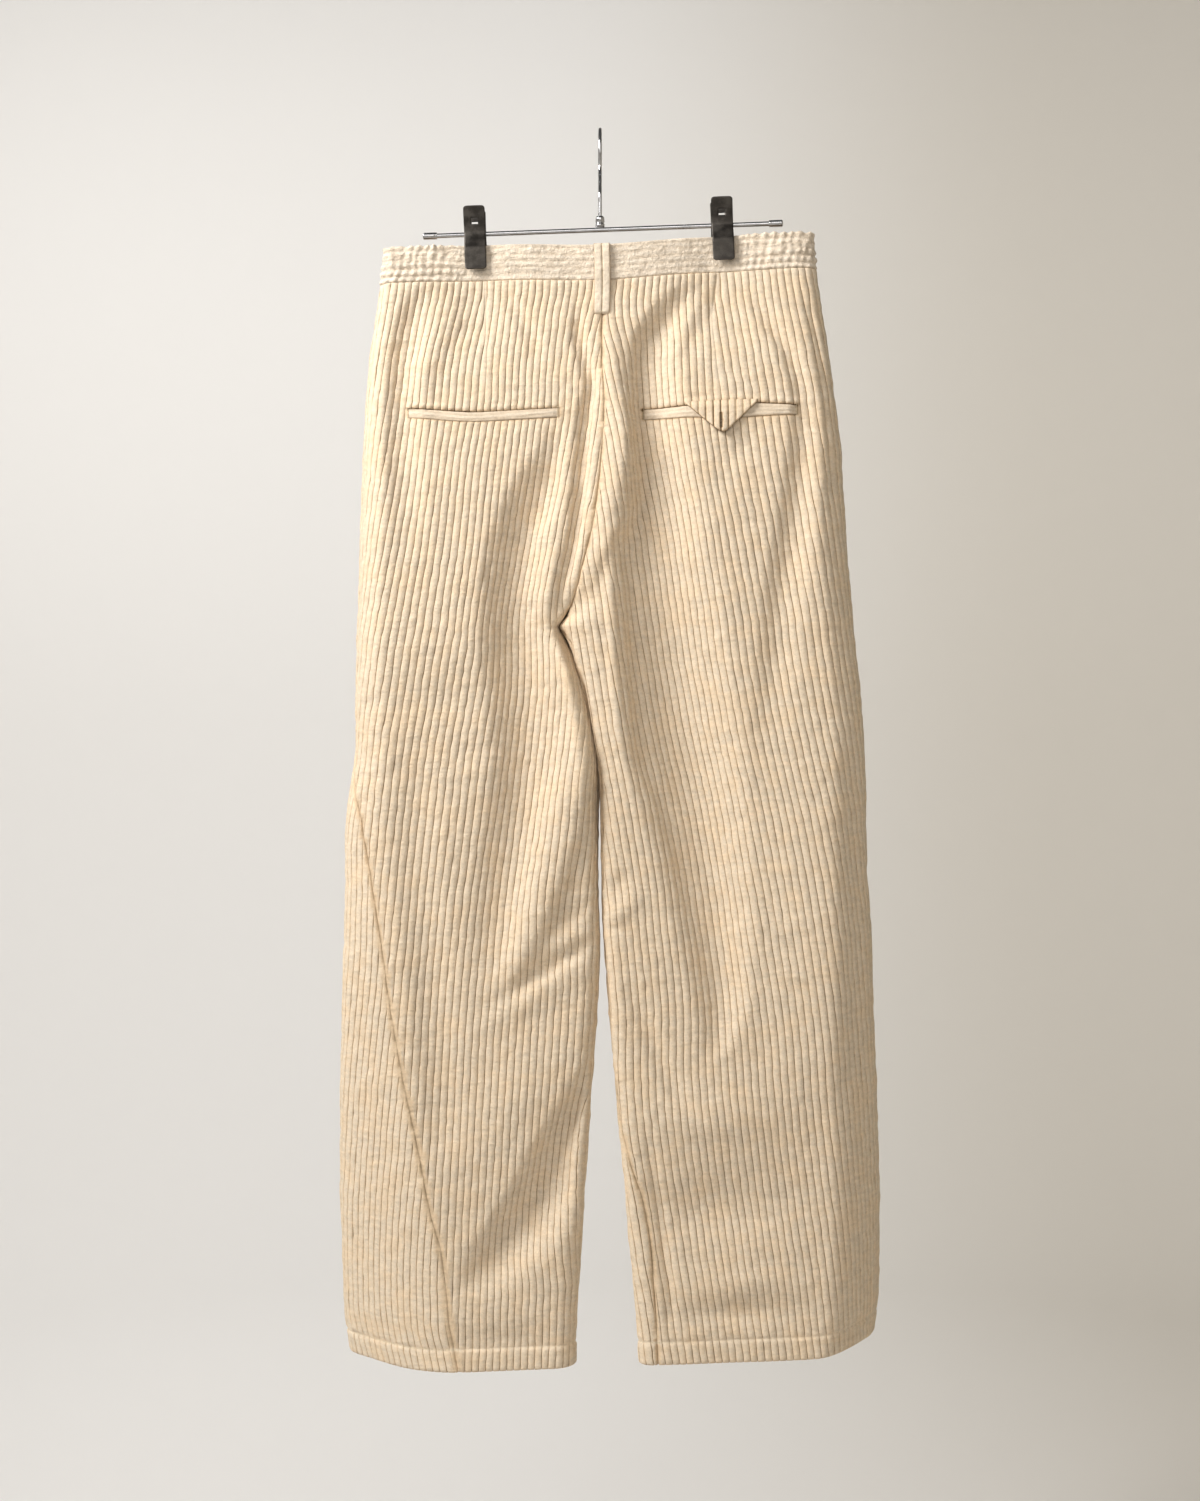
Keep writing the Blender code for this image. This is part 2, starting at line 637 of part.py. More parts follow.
# ---------------------------------------------------------------- the waistband
class BandLine:
    """The waist at one drop on one face, from the left outer edge round to the right one."""

    def __init__(self, face, drop):
        halves = []
        for side in (LEFT, RIGHT):
            ring = Ring(side, drop)
            if face == BACK:
                halves.append(ring.points[Ring.SAMPLES - 1:])
            else:
                halves.append(ring.points[:Ring.SAMPLES][::-1])
        self.face = face
        self.points = np.vstack([halves[0], halves[1][::-1][1:]])
        steps = np.linalg.norm(np.diff(self.points, axis=0), axis=1)
        self.distance = np.concatenate([[0], np.cumsum(steps)])
        self.length = self.distance[-1]
        self.centre = self.distance[Ring.SAMPLES - 1]

    def at(self, distance):
        """Points at distances from the left outer edge."""
        return np.column_stack([np.interp(distance, self.distance, self.points[:, 0]),
                                np.interp(distance, self.distance, self.points[:, 1])])

    def moved_out(self, distance, out):
        """Points at distances from the left outer edge, moved out of the waist's surface."""
        along = (self.at(np.minimum(distance + 0.6, self.length))
                 - self.at(np.maximum(distance - 0.6, 0)))
        along /= np.linalg.norm(along, axis=1)[:, None]
        outward = np.column_stack([along[:, 1], -along[:, 0]]) * -self.face
        return self.at(distance) + outward * np.asarray(out)[..., None]


def band_columns(stretch):
    """Columns of a stretch of band as shares of it, and which of them a gather pulls out."""
    if stretch != "back":
        shares = np.concatenate([[0, 0.012, 0.03], np.linspace(0.08, 1, 9)])
        shares = shares if stretch == "front_left" else 1 - shares[::-1]
        return shares, np.zeros(len(shares))
    gathers = 2 * int(GATHER_REACH / GATHER_PITCH) + 1
    end = GATHER_REACH / WAIST_HALF
    left = np.linspace(0, end, gathers)
    shares = np.concatenate([left, np.linspace(end, 1 - end, 16)[1:-1], 1 - left[::-1]])
    pull = np.zeros(len(shares))
    pull[:gathers] = np.arange(gathers) % 2
    pull[-gathers:] = np.arange(gathers) % 2
    return shares, pull


def add_band(name, face, stretch):
    """A stretch of waistband, its wales running round the waist and its inside plain."""
    rows = 2 * BAND_WALES + 1
    shares, pull = band_columns(stretch)
    keys = np.arange(1, len(shares) - 1)
    outer = []
    inner = []
    for row, drop in enumerate(np.linspace(WAIST_TOP_DROP, WAIST_SEAM_DROP - SEAM_GAP / 2, rows)):
        line = BandLine(face, drop)
        start = line.centre if stretch == "front_right" else 0
        end = line.centre if stretch == "front_left" else line.length
        places = start + SEAM_GAP / 2 + shares * (end - start - SEAM_GAP)
        at_edge = row in (0, rows - 1)
        gather = GATHER_HEIGHT * pull * (GATHER_AT_EDGE if at_edge else 1.0)
        raised = BAND_CLOTH / 2 + BAND_WALE_HEIGHT * (row % 2) + gather
        for made, out in ((outer, raised), (inner, 0 * raised - BAND_CLOTH / 2)):
            points = line.moved_out(places, out)
            made.append((keys, hang(points[:, 0], points[:, 1], drop)))
    places = [shares] * rows
    return add_wall(name, outer, inner, places, places, CORDUROY_BAND)


def add_waistband():
    """The back band with its elastic stretches, and the two front halves that button."""
    add_band("waistband_back", BACK, "back")
    add_band("waistband_front_left", FRONT, "front_left")
    add_band("waistband_front_right", FRONT, "front_right")


# ---------------------------------------------------------------- pieces that lie on a panel
def bounding_rows(drop):
    """The two rows of panel points above and below a drop, and the share of the lower one."""
    rows = (WAIST_SEAM_DROP, *PANEL_ROWS, HEM_DROP)
    lower = int(np.searchsorted(rows, drop))
    lower = min(max(lower, 1), len(rows) - 1)
    share = (drop - rows[lower - 1]) / (rows[lower] - rows[lower - 1])
    return rows[lower - 1], rows[lower], share


def panel_line(side, face, drop):
    """The line that a panel's grooves follow at one drop, between its rows of points."""
    above, below, share = bounding_rows(drop)
    ends = [Ring(side, row) for row in (above, below)]
    if face == BACK:
        around = np.linspace(0, max(ring.back_end for ring in ends), 240)
        first, second = (ring.at(np.minimum(around, ring.back_end - 0.01)) for ring in ends)
    else:
        around = np.linspace(0, min(ring.front_end for ring in ends), 240)
        first, second = (ring.at(np.maximum(around, ring.front_end + 0.01)) for ring in ends)
    return (1 - share) * first + share * second


def on_panel(face, x, drop, out):
    """Points over a panel's grooves, moved out, at one drop."""
    x = np.asarray(x, dtype=float)
    centre = through(CENTRE_SEAM, 1, drop)
    if drop <= WAIST_SEAM_DROP:
        y = np.where(x < centre, cloth_y(LEFT, face, x, drop), cloth_y(RIGHT, face, x, drop))
    else:
        left = panel_line(LEFT, face, drop)
        right = panel_line(RIGHT, face, drop)[::-1]
        y = np.where(x < centre, np.interp(x, left[:, 0], left[:, 1]),
                     np.interp(x, right[:, 0], right[:, 1]))
    return hang(x, y + face * out, drop)


def add_patch(name, face, x_of_drop, drops, columns, out_low, cloth, ribs, finish):
    """A strip of cloth over a panel. out_low gives its inner face's height at (x, drop)."""
    outer = []
    inner = []
    places = []
    keys = np.arange(1, columns)
    for drop in drops:
        x_low, x_high = x_of_drop(drop)
        x = np.linspace(x_low, x_high, columns + 1)
        low = out_low(x, drop)
        raised = cloth + ribs(np.arange(columns + 1), drop)
        outer.append((keys, on_panel(face, x, drop, low + raised)))
        inner.append((keys, on_panel(face, x, drop, low)))
        places.append(x)
    return add_wall(name, outer, inner, places, places, finish)


def no_ribs(columns, drop):
    """A plain strip."""
    return np.zeros(len(columns))


OVER_WALES = WALE_HEIGHT + 0.7
OVER_BAND = BAND_CLOTH / 2 + BAND_WALE_HEIGHT + 0.4


def add_belt_loop(name, face, centre_x):
    """A belt loop of two wales, sewn at both ends and bowed a little between them."""
    top = WAIST_TOP_DROP + 0.5
    drops = np.linspace(top, top + LOOP_LENGTH, 7)

    def stand_off(x, drop):
        along = (drop - top) / LOOP_LENGTH
        rest = max(OVER_WALES, OVER_BAND)
        return rest + LOOP_BOW * math.sin(math.pi * along) + 0 * x

    def two_wales(columns, drop):
        return LOOP_WALE_HEIGHT * (columns % 2).astype(float)

    add_patch(name, face, lambda drop: (centre_x - LOOP_WIDTH / 2, centre_x + LOOP_WIDTH / 2),
              drops, 4, stand_off, LOOP_CLOTH, two_wales, CORDUROY_BAND)


def add_pockets():
    """A welt under each pocket's slit, and the flap and button of the right one."""
    def over_wales(x, drop):
        return OVER_WALES + 0 * x

    welt_top = POCKET_DROP + 1.5
    welt_drops = np.linspace(welt_top, welt_top + WELT_DEPTH, 3)
    add_patch("pocket_welt_left", BACK, lambda drop: LEFT_POCKET_X,
              welt_drops, 28, over_wales, WELT_CLOTH, no_ribs, CORDUROY_BAND)
    add_patch("pocket_welt_right", BACK, lambda drop: RIGHT_POCKET_X,
              welt_drops, 28, over_wales, WELT_CLOTH, no_ribs, CORDUROY_BAND)
    button_face = add_button("pocket_button", BACK, POCKET_BUTTON_X, POCKET_BUTTON_DROP, OVER_WALES)
    add_flap(button_face)


def add_button(name, face, x, drop, out):
    """A flat button that clears the cloth under it. Gives how far its face stands off that cloth."""
    spread = np.linspace(-BUTTON_RADIUS, BUTTON_RADIUS, 9)
    under = np.vstack([on_panel(face, x + spread, drop + step, out) for step in spread])
    seat_y = face * np.max(face * under[:, 1])
    hollow = face * seat_y - np.min(face * under[:, 1])
    middle = on_panel(face, [x], drop, out)[0]
    bpy.ops.mesh.primitive_cylinder_add(
        vertices=20, radius=BUTTON_RADIUS * MM, depth=BUTTON_THICKNESS * MM,
        location=(middle[0], seat_y + face * BUTTON_THICKNESS / 2 * MM, middle[2]),
        rotation=(math.pi / 2, 0, 0))
    take_active(name, BUTTON_HORN, smooth=True)
    return out + hollow / MM + BUTTON_THICKNESS


def add_flap(button_face):
    """The triangular flap with vertical wales, hinged over the slit, its buttonhole cut through."""
    top = POCKET_DROP - 1.5
    stand = button_face + 0.5
    drops = np.linspace(top, top + FLAP_LENGTH, 6)

    def outline(drop):
        share = min((drop - top) / FLAP_LENGTH, FLAP_POINT)
        low, high = FLAP_TOP_X
        return (low + (FLAP_TIP_X - low) * share, high + (FLAP_TIP_X - high) * share)

    def lifted(x, drop):
        share = (drop - top) / FLAP_LENGTH
        over_welt = OVER_WALES + WELT_CLOTH + 0.5
        return over_welt + (stand - over_welt) * smoothstep(0, 0.35, share) + 0 * x

    def wales(columns, drop):
        return FLAP_WALE_HEIGHT * (columns % 2).astype(float)

    add_patch("pocket_flap", BACK, outline, drops, 18, lifted, FLAP_CLOTH, wales, CORDUROY)
    flap = bpy.data.objects["pocket_flap"]
    middle = on_panel(BACK, [POCKET_BUTTON_X], POCKET_BUTTON_DROP, stand)[0]
    width, length = BUTTONHOLE
    cut_box(flap, middle, (width, 10 * FLAP_CLOTH, length))


# ---------------------------------------------------------------- hard pieces
def take_active(name, finish, smooth=False):
    """Name the object that an operator has just made and move it to the trousers."""
    thing = bpy.context.object
    thing.name = name
    thing.data.name = name
    for collection in list(thing.users_collection):
        collection.objects.unlink(thing)
    if smooth:
        thing.data.shade_smooth()
        thing.data.set_sharp_from_angle(angle=math.radians(40))
    return finish_object(thing, finish)


def cut_box(thing, middle, size):
    """Cut a box of a size in mm, about a point in metres, out of an object."""
    bpy.ops.mesh.primitive_cube_add(size=1, location=middle)
    cutter = bpy.context.object
    cutter.name = f"{thing.name}_cutter"
    cutter.scale = [length * MM for length in size]
    bpy.ops.object.transform_apply(location=False, rotation=False, scale=True)
    for collection in list(cutter.users_collection):
        collection.objects.unlink(cutter)
    CUTTERS.objects.link(cutter)
    cutter.hide_render = True
    cutter.display_type = "WIRE"
    boolean = thing.modifiers.new(cutter.name, "BOOLEAN")
    boolean.operation = "DIFFERENCE"
    boolean.object = cutter


def add_turned(name, profile, centre, finish, steps=14):
    """A piece turned about the bar's direction. The profile is (along, radius), closed."""
    mesh = bpy.data.meshes.new(name)
    points = [(radius * MM, 0, along * MM) for along, radius in profile]
    links = [(place, (place + 1) % len(points)) for place in range(len(points))]
    if profile[0][1] == 0 and profile[-1][1] == 0:
        links = links[:-1]
    mesh.from_pydata(points, links, [])
    thing = bpy.data.objects.new(name, mesh)
    finish_object(thing, finish)
    screw = thing.modifiers.new("turn", "SCREW")
    screw.axis = "Z"
    screw.steps = steps
    screw.render_steps = steps
    screw.use_merge_vertices = True
    screw.merge_threshold = 0.00001
    screw.use_smooth_shade = True
    thing.location = centre
    thing.rotation_euler = (0, math.pi / 2 - HANG_LEAN, 0)
    return thing


def bar_point(x):
    """A point on the bar's middle line."""
    return (x * MM, 0, (-BAR_DROP + math.tan(HANG_LEAN) * x) * MM)


def add_bar():
    """The straight bar and the cap on each of its ends."""
    middle = (BAR_ENDS[0] + BAR_ENDS[1]) / 2
    length = (BAR_ENDS[1] - BAR_ENDS[0]) / math.cos(HANG_LEAN)
    bpy.ops.mesh.primitive_cylinder_add(
        vertices=16, radius=BAR_RADIUS * MM, depth=length * MM, location=bar_point(middle),
        rotation=(0, math.pi / 2 - HANG_LEAN, 0))
    take_active("hanger_bar", CHROME, smooth=True)
    for name, end, outward in (("bar_cap_left", BAR_ENDS[0], -1),
                               ("bar_cap_right", BAR_ENDS[1], 1)):
        bore = BAR_RADIUS + CLEARANCE
        mouth = -outward * (CAP_LENGTH - CAP_END)
        floor = outward * CLEARANCE
        tip = outward * CAP_END
        shoulder = outward * (CAP_END - CAP_BEVEL)
        profile = [(tip, 0), (tip, CAP_RADIUS - CAP_BEVEL), (shoulder, CAP_RADIUS),
                   (mouth, CAP_RADIUS), (mouth, bore), (floor, bore), (floor, 0)]
        add_turned(name, profile if outward > 0 else profile[::-1], bar_point(end), CHROME)


def hook_line():
    """The hook's middle line as (y, z): stem, neck bend, then round the crown to the tip."""
    radius = HOOK_INSIDE_RADIUS + WIRE_DIAMETER / 2
    centre = -HOOK_INSIDE_RADIUS
    neck = math.radians(HOOK_NECK_ANGLE)
    tip = math.radians(HOOK_TIP_ANGLE)
    turn = math.pi - neck
    leave = np.array([radius * math.sin(neck), centre + radius * math.cos(neck)])
    bend_width = HOOK_NECK_BEND * (1 - math.cos(turn))
    run = (leave[0] - bend_width) / math.sin(turn)
    bend_top = leave - run * np.array([math.sin(turn), math.cos(turn)])
    bend_centre = np.array([HOOK_NECK_BEND, bend_top[1] - HOOK_NECK_BEND * math.sin(turn)])
    points = [np.array([0.0, -FERRULE_TOP_DROP + CLEARANCE])]
    for angle in np.linspace(0, turn, 5):
        points.append(bend_centre + HOOK_NECK_BEND * np.array([-math.cos(angle), math.sin(angle)]))
    for angle in np.linspace(neck, -tip, 26):
        points.append(np.array([radius * math.sin(angle), centre + radius * math.cos(angle)]))
    return points


def add_hook():
    """The wire hook, which turns over a rail, and the ferrule that holds it to the bar."""
    curve = bpy.data.curves.new("hanger_hook", "CURVE")
    curve.dimensions = "3D"
    curve.bevel_depth = WIRE_DIAMETER / 2 * MM
    curve.bevel_resolution = 2
    curve.use_fill_caps = True
    points = hook_line()
    spline = curve.splines.new("POLY")
    spline.points.add(len(points) - 1)
    for place, (y, z) in enumerate(points):
        spline.points[place].co = (0, y * MM, z * MM, 1)
    finish_object(bpy.data.objects.new("hanger_hook", curve), CHROME)
    bottom = -BAR_DROP + BAR_RADIUS + CLEARANCE
    height = -FERRULE_TOP_DROP - bottom
    bpy.ops.mesh.primitive_cylinder_add(
        vertices=16, radius=FERRULE_RADIUS * MM, depth=height * MM,
        location=(0, 0, (bottom + height / 2) * MM))
    ferrule = take_active("hanger_ferrule", CHROME, smooth=True)
    bevel = ferrule.modifiers.new("edge", "BEVEL")
    bevel.width = 0.8 * MM
    bevel.segments = 1
    bevel.limit_method = "ANGLE"


def plate_reach(height):
    """How far a clip plate's inner face stands from the middle plane, at heights over the bar."""
    heights, reaches = zip(
        (-CLIP_BOTTOM, CLIP_JAW + 1.0),
        (-CLIP_BOTTOM + 4.0, CLIP_JAW),
        (-15.0, CLIP_JAW),
        (0.0, BARREL_RADIUS + CLEARANCE),
        (6.0, BARREL_RADIUS + 3 * CLEARANCE),
        (CLIP_TOP, CLIP_HEEL))
    return np.interp(height, heights, reaches)


def add_clip_plate(name, facing, centre_x):
    """A clip's pressed plate, its ends rounded and its hole cut through."""
    across = np.linspace(-1, 1, 5)
    outer = []
    inner = []
    for height in CLIP_HEIGHTS:
        to_end = min(height + CLIP_BOTTOM, CLIP_TOP - height)
        corner = CLIP_CORNER * float(round_turn(to_end / CLIP_CORNER))
        x = across * (CLIP_WIDTH / 2 - corner) + centre_x
        z = -BAR_DROP + height + x * math.tan(HANG_LEAN)
        for rows, out in ((outer, CLIP_PLATE), (inner, 0)):
            y = np.full(len(x), facing * (plate_reach(height) + out))
            points = np.column_stack([x - math.sin(HANG_LEAN) * height, y, z])
            rows.append((np.arange(1, len(x) - 1), points * MM))
    places = [across] * len(CLIP_HEIGHTS)
    plate = add_wall(name, outer, inner, places, places, DARK_CHROME)
    hole_x = (centre_x - math.sin(HANG_LEAN) * CLIP_HOLE_ABOVE_BAR) * MM
    hole_z = bar_point(centre_x)[2] + CLIP_HOLE_ABOVE_BAR * MM
    width, height = CLIP_HOLE
    cut_box(plate, (hole_x, facing * CLIP_HOLE_DEPTH * MM, hole_z),
            (width, 1.5 * CLIP_HOLE_DEPTH, height))


def add_clip(side_name, centre_x):
    """One clip: a near and a far plate over the waistband, sprung on a barrel round the bar."""
    add_clip_plate(f"clip_{side_name}_near", BACK, centre_x)
    add_clip_plate(f"clip_{side_name}_far", FRONT, centre_x)
    bore = BAR_RADIUS + CLEARANCE
    half = BARREL_LENGTH / 2
    profile = [(half, bore), (half, BARREL_RADIUS), (-half, BARREL_RADIUS), (-half, bore)]
    add_turned(f"clip_{side_name}_barrel", profile, bar_point(centre_x), CHROME)


def clip_jaw():
    """How far the band's outer face stands from the middle plane under the clips."""
    drops = np.linspace(WAIST_TOP_DROP, BAR_DROP + CLIP_BOTTOM + 2, 9)
    half = CLIP_WIDTH / 2
    reach = 0.0
    for centre in CLIP_X:
        x = np.linspace(centre - half, centre + half, 9)
        side = LEFT if centre < 0 else RIGHT
        for drop in drops:
            for face in (BACK, FRONT):
                reach = max(reach, float(np.max(np.abs(cloth_y(side, face, x, drop)))))
    return reach + BAND_CLOTH / 2 + BAND_WALE_HEIGHT + 1.5 * CLEARANCE


def make_collection(name):
    """A collection in the scene."""
    collection = bpy.data.collections.new(name)
    bpy.context.scene.collection.children.link(collection)
    return collection


for old in list(bpy.data.objects):
    bpy.data.objects.remove(old, do_unlink=True)

PIECES = make_collection("corduroy_trousers")
CUTTERS = make_collection("cutters")
CLIP_JAW = clip_jaw()

add_leg_panel("back_left", LEFT, BACK)
add_leg_panel("back_right", RIGHT, BACK)
add_leg_panel("front_left", LEFT, FRONT)
add_leg_panel("front_right", RIGHT, FRONT)
add_waistband()
add_belt_loop("belt_loop_back", BACK, LOOP_X[1])
add_belt_loop("belt_loop_front_left", FRONT, LOOP_X[0])
add_belt_loop("belt_loop_front_right", FRONT, LOOP_X[2])
add_pockets()
add_button("waist_button", FRONT, WAIST_BUTTON_X, (WAIST_TOP_DROP + WAIST_SEAM_DROP) / 2, OVER_BAND)
add_bar()
add_hook()
add_clip("left", CLIP_X[0])
add_clip("right", CLIP_X[1])
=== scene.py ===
"""Wide-leg corduroy trousers hung by the waist from a two-clip hanger.

Each class below builds one group of the garment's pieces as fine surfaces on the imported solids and
gives them their finish. Lengths are in millimetres and a "drop" is a distance below the inside of
the hook's crown; meshes are scaled to metres as they are made. The back faces -Y and +X is the
wearer's right.
"""
import logging
import math
from dataclasses import dataclass, field
from enum import Enum

import bpy
import numpy as np
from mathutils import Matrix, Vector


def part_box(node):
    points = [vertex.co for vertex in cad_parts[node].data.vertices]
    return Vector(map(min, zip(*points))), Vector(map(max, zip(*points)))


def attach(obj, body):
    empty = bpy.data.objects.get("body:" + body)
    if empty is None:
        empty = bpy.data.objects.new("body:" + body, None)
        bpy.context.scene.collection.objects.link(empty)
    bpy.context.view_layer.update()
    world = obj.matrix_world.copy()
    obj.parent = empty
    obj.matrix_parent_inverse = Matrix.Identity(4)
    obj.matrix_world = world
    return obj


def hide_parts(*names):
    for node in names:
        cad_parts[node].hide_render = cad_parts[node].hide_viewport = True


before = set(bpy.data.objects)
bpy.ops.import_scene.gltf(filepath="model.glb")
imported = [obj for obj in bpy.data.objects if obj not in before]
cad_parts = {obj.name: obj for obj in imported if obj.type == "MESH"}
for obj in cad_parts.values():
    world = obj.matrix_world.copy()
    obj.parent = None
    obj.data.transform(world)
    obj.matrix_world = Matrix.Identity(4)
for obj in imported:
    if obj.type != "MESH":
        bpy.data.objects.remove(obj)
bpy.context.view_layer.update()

LOG = logging.getLogger("trousers")
Array = np.ndarray
Table = tuple[tuple[float, ...], ...]
Colour = tuple[float, float, float]
Piece = bpy.types.Object
Tree = bpy.types.NodeTree
Node = bpy.types.Node
Socket = bpy.types.NodeSocket

MM = 0.001


class Side(Enum):
    """A leg of the wearer's, by the sign of its x."""

    LEFT = -1
    RIGHT = 1


class Face(Enum):
    """The back or the front of the garment, by the sign of its y."""

    BACK = -1
    FRONT = 1


# ---------------- the cut and the hang (mm)
WAIST_TOP_DROP = 103.0
WAIST_SEAM_DROP = 137.0
CROTCH_DROP = 465.0
HEM_DROP = 1147.0
CLOTH = 1.4
WALE_PITCH = 6.6
WALE_HEIGHT = 2.0
WALE_POWER = 10.0
TANGENT_STEP = 0.8
SEAM_GAP = 0.12
NARROW_STRIP = 1.6
WIDE_STRIP = 2.2
HANG_LEAN = math.radians(2.1)
WAIST_DIP = 4.5
WAIST_DIP_REACH = 70.0
WAIST_DIP_DEPTH = 130.0
HEM_CURL = 5.0
HEM_CURL_FROM = 0.72
HEM_CURL_HEIGHT = 260.0
HEM_DEPTH = 20.0
POCKET_DROP = 265.0
INSEAM_ROLL_WIDTH = 4.6

# Where the points across a wale lie, from -1 in one groove to 1 in the next, and the rows' spacing.
BACK_ACROSS = (-1.0, -0.94, -0.82, 0.82, 0.94)
FRONT_ACROSS = (-1.0, -0.9, -0.72, 0.72, 0.9)
BACK_ROW_STEP = 3.0
FRONT_ROW_STEP = 4.8

# drop, left x, right x, y, left slope, right slope
OUTER_EDGE: Table = (
    (103, -202, 199, 0, 14, 18),
    (137, -205, 202, 0, 15, 18),
    (175, -211, 207, 0, 16, 22),
    (215, -216, 213, -1, 18, 26),
    (260, -219, 218, -2, 20, 28),
    (310, -221, 224, -4, 22, 30),
    (400, -224, 229, -8, 24, 30),
    (465, -225, 234, -12, 26, 30),
    (530, -226, 240, -15, 28, 30),
    (570, -226, 243, -15, 30, 30),
    (610, -231, 246, -14, 34, 32),
    (660, -236, 247, -12, 42, 34),
    (760, -238, 252, -8, 56, 36),
    (900, -243, 258, 4, 82, 46),
    (1040, -244, 264, 20, 98, 52),
    (1100, -242, 264, 26, 104, 54),
    (1147, -236, 259, 30, 106, 56),
)
EDGE_ROLL = 12.0
EDGE_ROLL_REACH = 9.0
EDGE_ROLL_SHARE = 0.6
EDGE_SLOPE_POWER = 1.6
CALM_OUTER = 12.0
CALM_INNER = 14.0
LEG_BLEND = 25.0
CROTCH_SPREAD = 1.4
CROTCH_SPREAD_HEIGHT = 20.0

# drop, back y, front y, front y at the left inseam, at the right inseam, left turn, right turn
CLOTH_LEVEL: Table = (
    (103, -9, 9, 9, 9, 40, 40),
    (137, -11, 11, 11, 11, 40, 40),
    (175, -15, 15, 15, 15, 40, 40),
    (215, -21, 20, 20, 20, 40, 40),
    (260, -28, 26, 26, 26, 40, 40),
    (310, -35, 31, 30, 30, 40, 40),
    (400, -43, 36, 33, 33, 34, 34),
    (465, -46, 38, 30, 28, 26, 30),
    (490, -46, 38, 32, 22, 15, 30),
    (530, -47, 39, 34, 12, 12, 26),
    (610, -47, 40, 22, 2, 11, 20),
    (700, -46, 40, 0, -8, 12, 15),
    (760, -46, 40, -10, -12, 13, 13),
    (900, -45, 41, -16, -17, 17, 13),
    (1040, -43, 42, -19, -19, 18, 13),
    (1147, -42, 42, -20, -20, 18, 13),
)

# drop, x, back y, front y
CENTRE_SEAM: Table = (
    (103, 1.5, -9, 9),
    (137, 1.5, -11, 11),
    (175, 2, -15, 15),
    (215, 2, -22, 20),
    (260, 4, -30, 26),
    (300, 2, -36, 30),
    (335, -1, -40, 32),
    (375, -7, -43, 33),
    (410, -16, -43, 26),
    (440, -24, -39, 10),
    (455, -31, -33, -8),
    (465, -38.5, -26, -26),
)

# drop, left x, left y, right x, right y
INNER_EDGE: Table = (
    (465, -39.9, -26, -37.1, -26),
    (480, -31, -14, -27, -34),
    (500, -21.5, 2, -20.5, -37),
    (530, -11, 15, -13, -38),
    (565, -4.5, 15, -6, -38),
    (600, -0.5, 7, 0.8, -38),
    (620, -1.5, -2, 2, -38),
    (640, -2.5, -12, 3, -38),
    (700, -2.5, -26, 3, -37),
    (760, -1, -32, 5, -37),
    (850, -6, -28, 12, -36),
    (900, -9, -27, 16.5, -36),
    (1000, -17, -26, 25.5, -34),
    (1080, -21.5, -25, 33, -33),
    (1147, -23.5, -24, 38, -32),
)

# drop, left outseam, left inseam, right outseam, right inseam
SEAM_SHIFT: Table = (
    (103, 0, 0, 0, 0),
    (550, 0, 0, 0, 0),
    (600, 12, -8, 0, 0),
    (640, 30, -26, -2, 0),
    (730, 49, -54, -4, 0),
    (810, 64, -68, -6, 0),
    (885, 82, -84, -8, 0),
    (950, 99, -99, -10, 8),
    (1000, 111, -110, -12, 19),
    (1045, 124, -120, -12, 22),
    (1147, 134, -128, -12, 21),
)

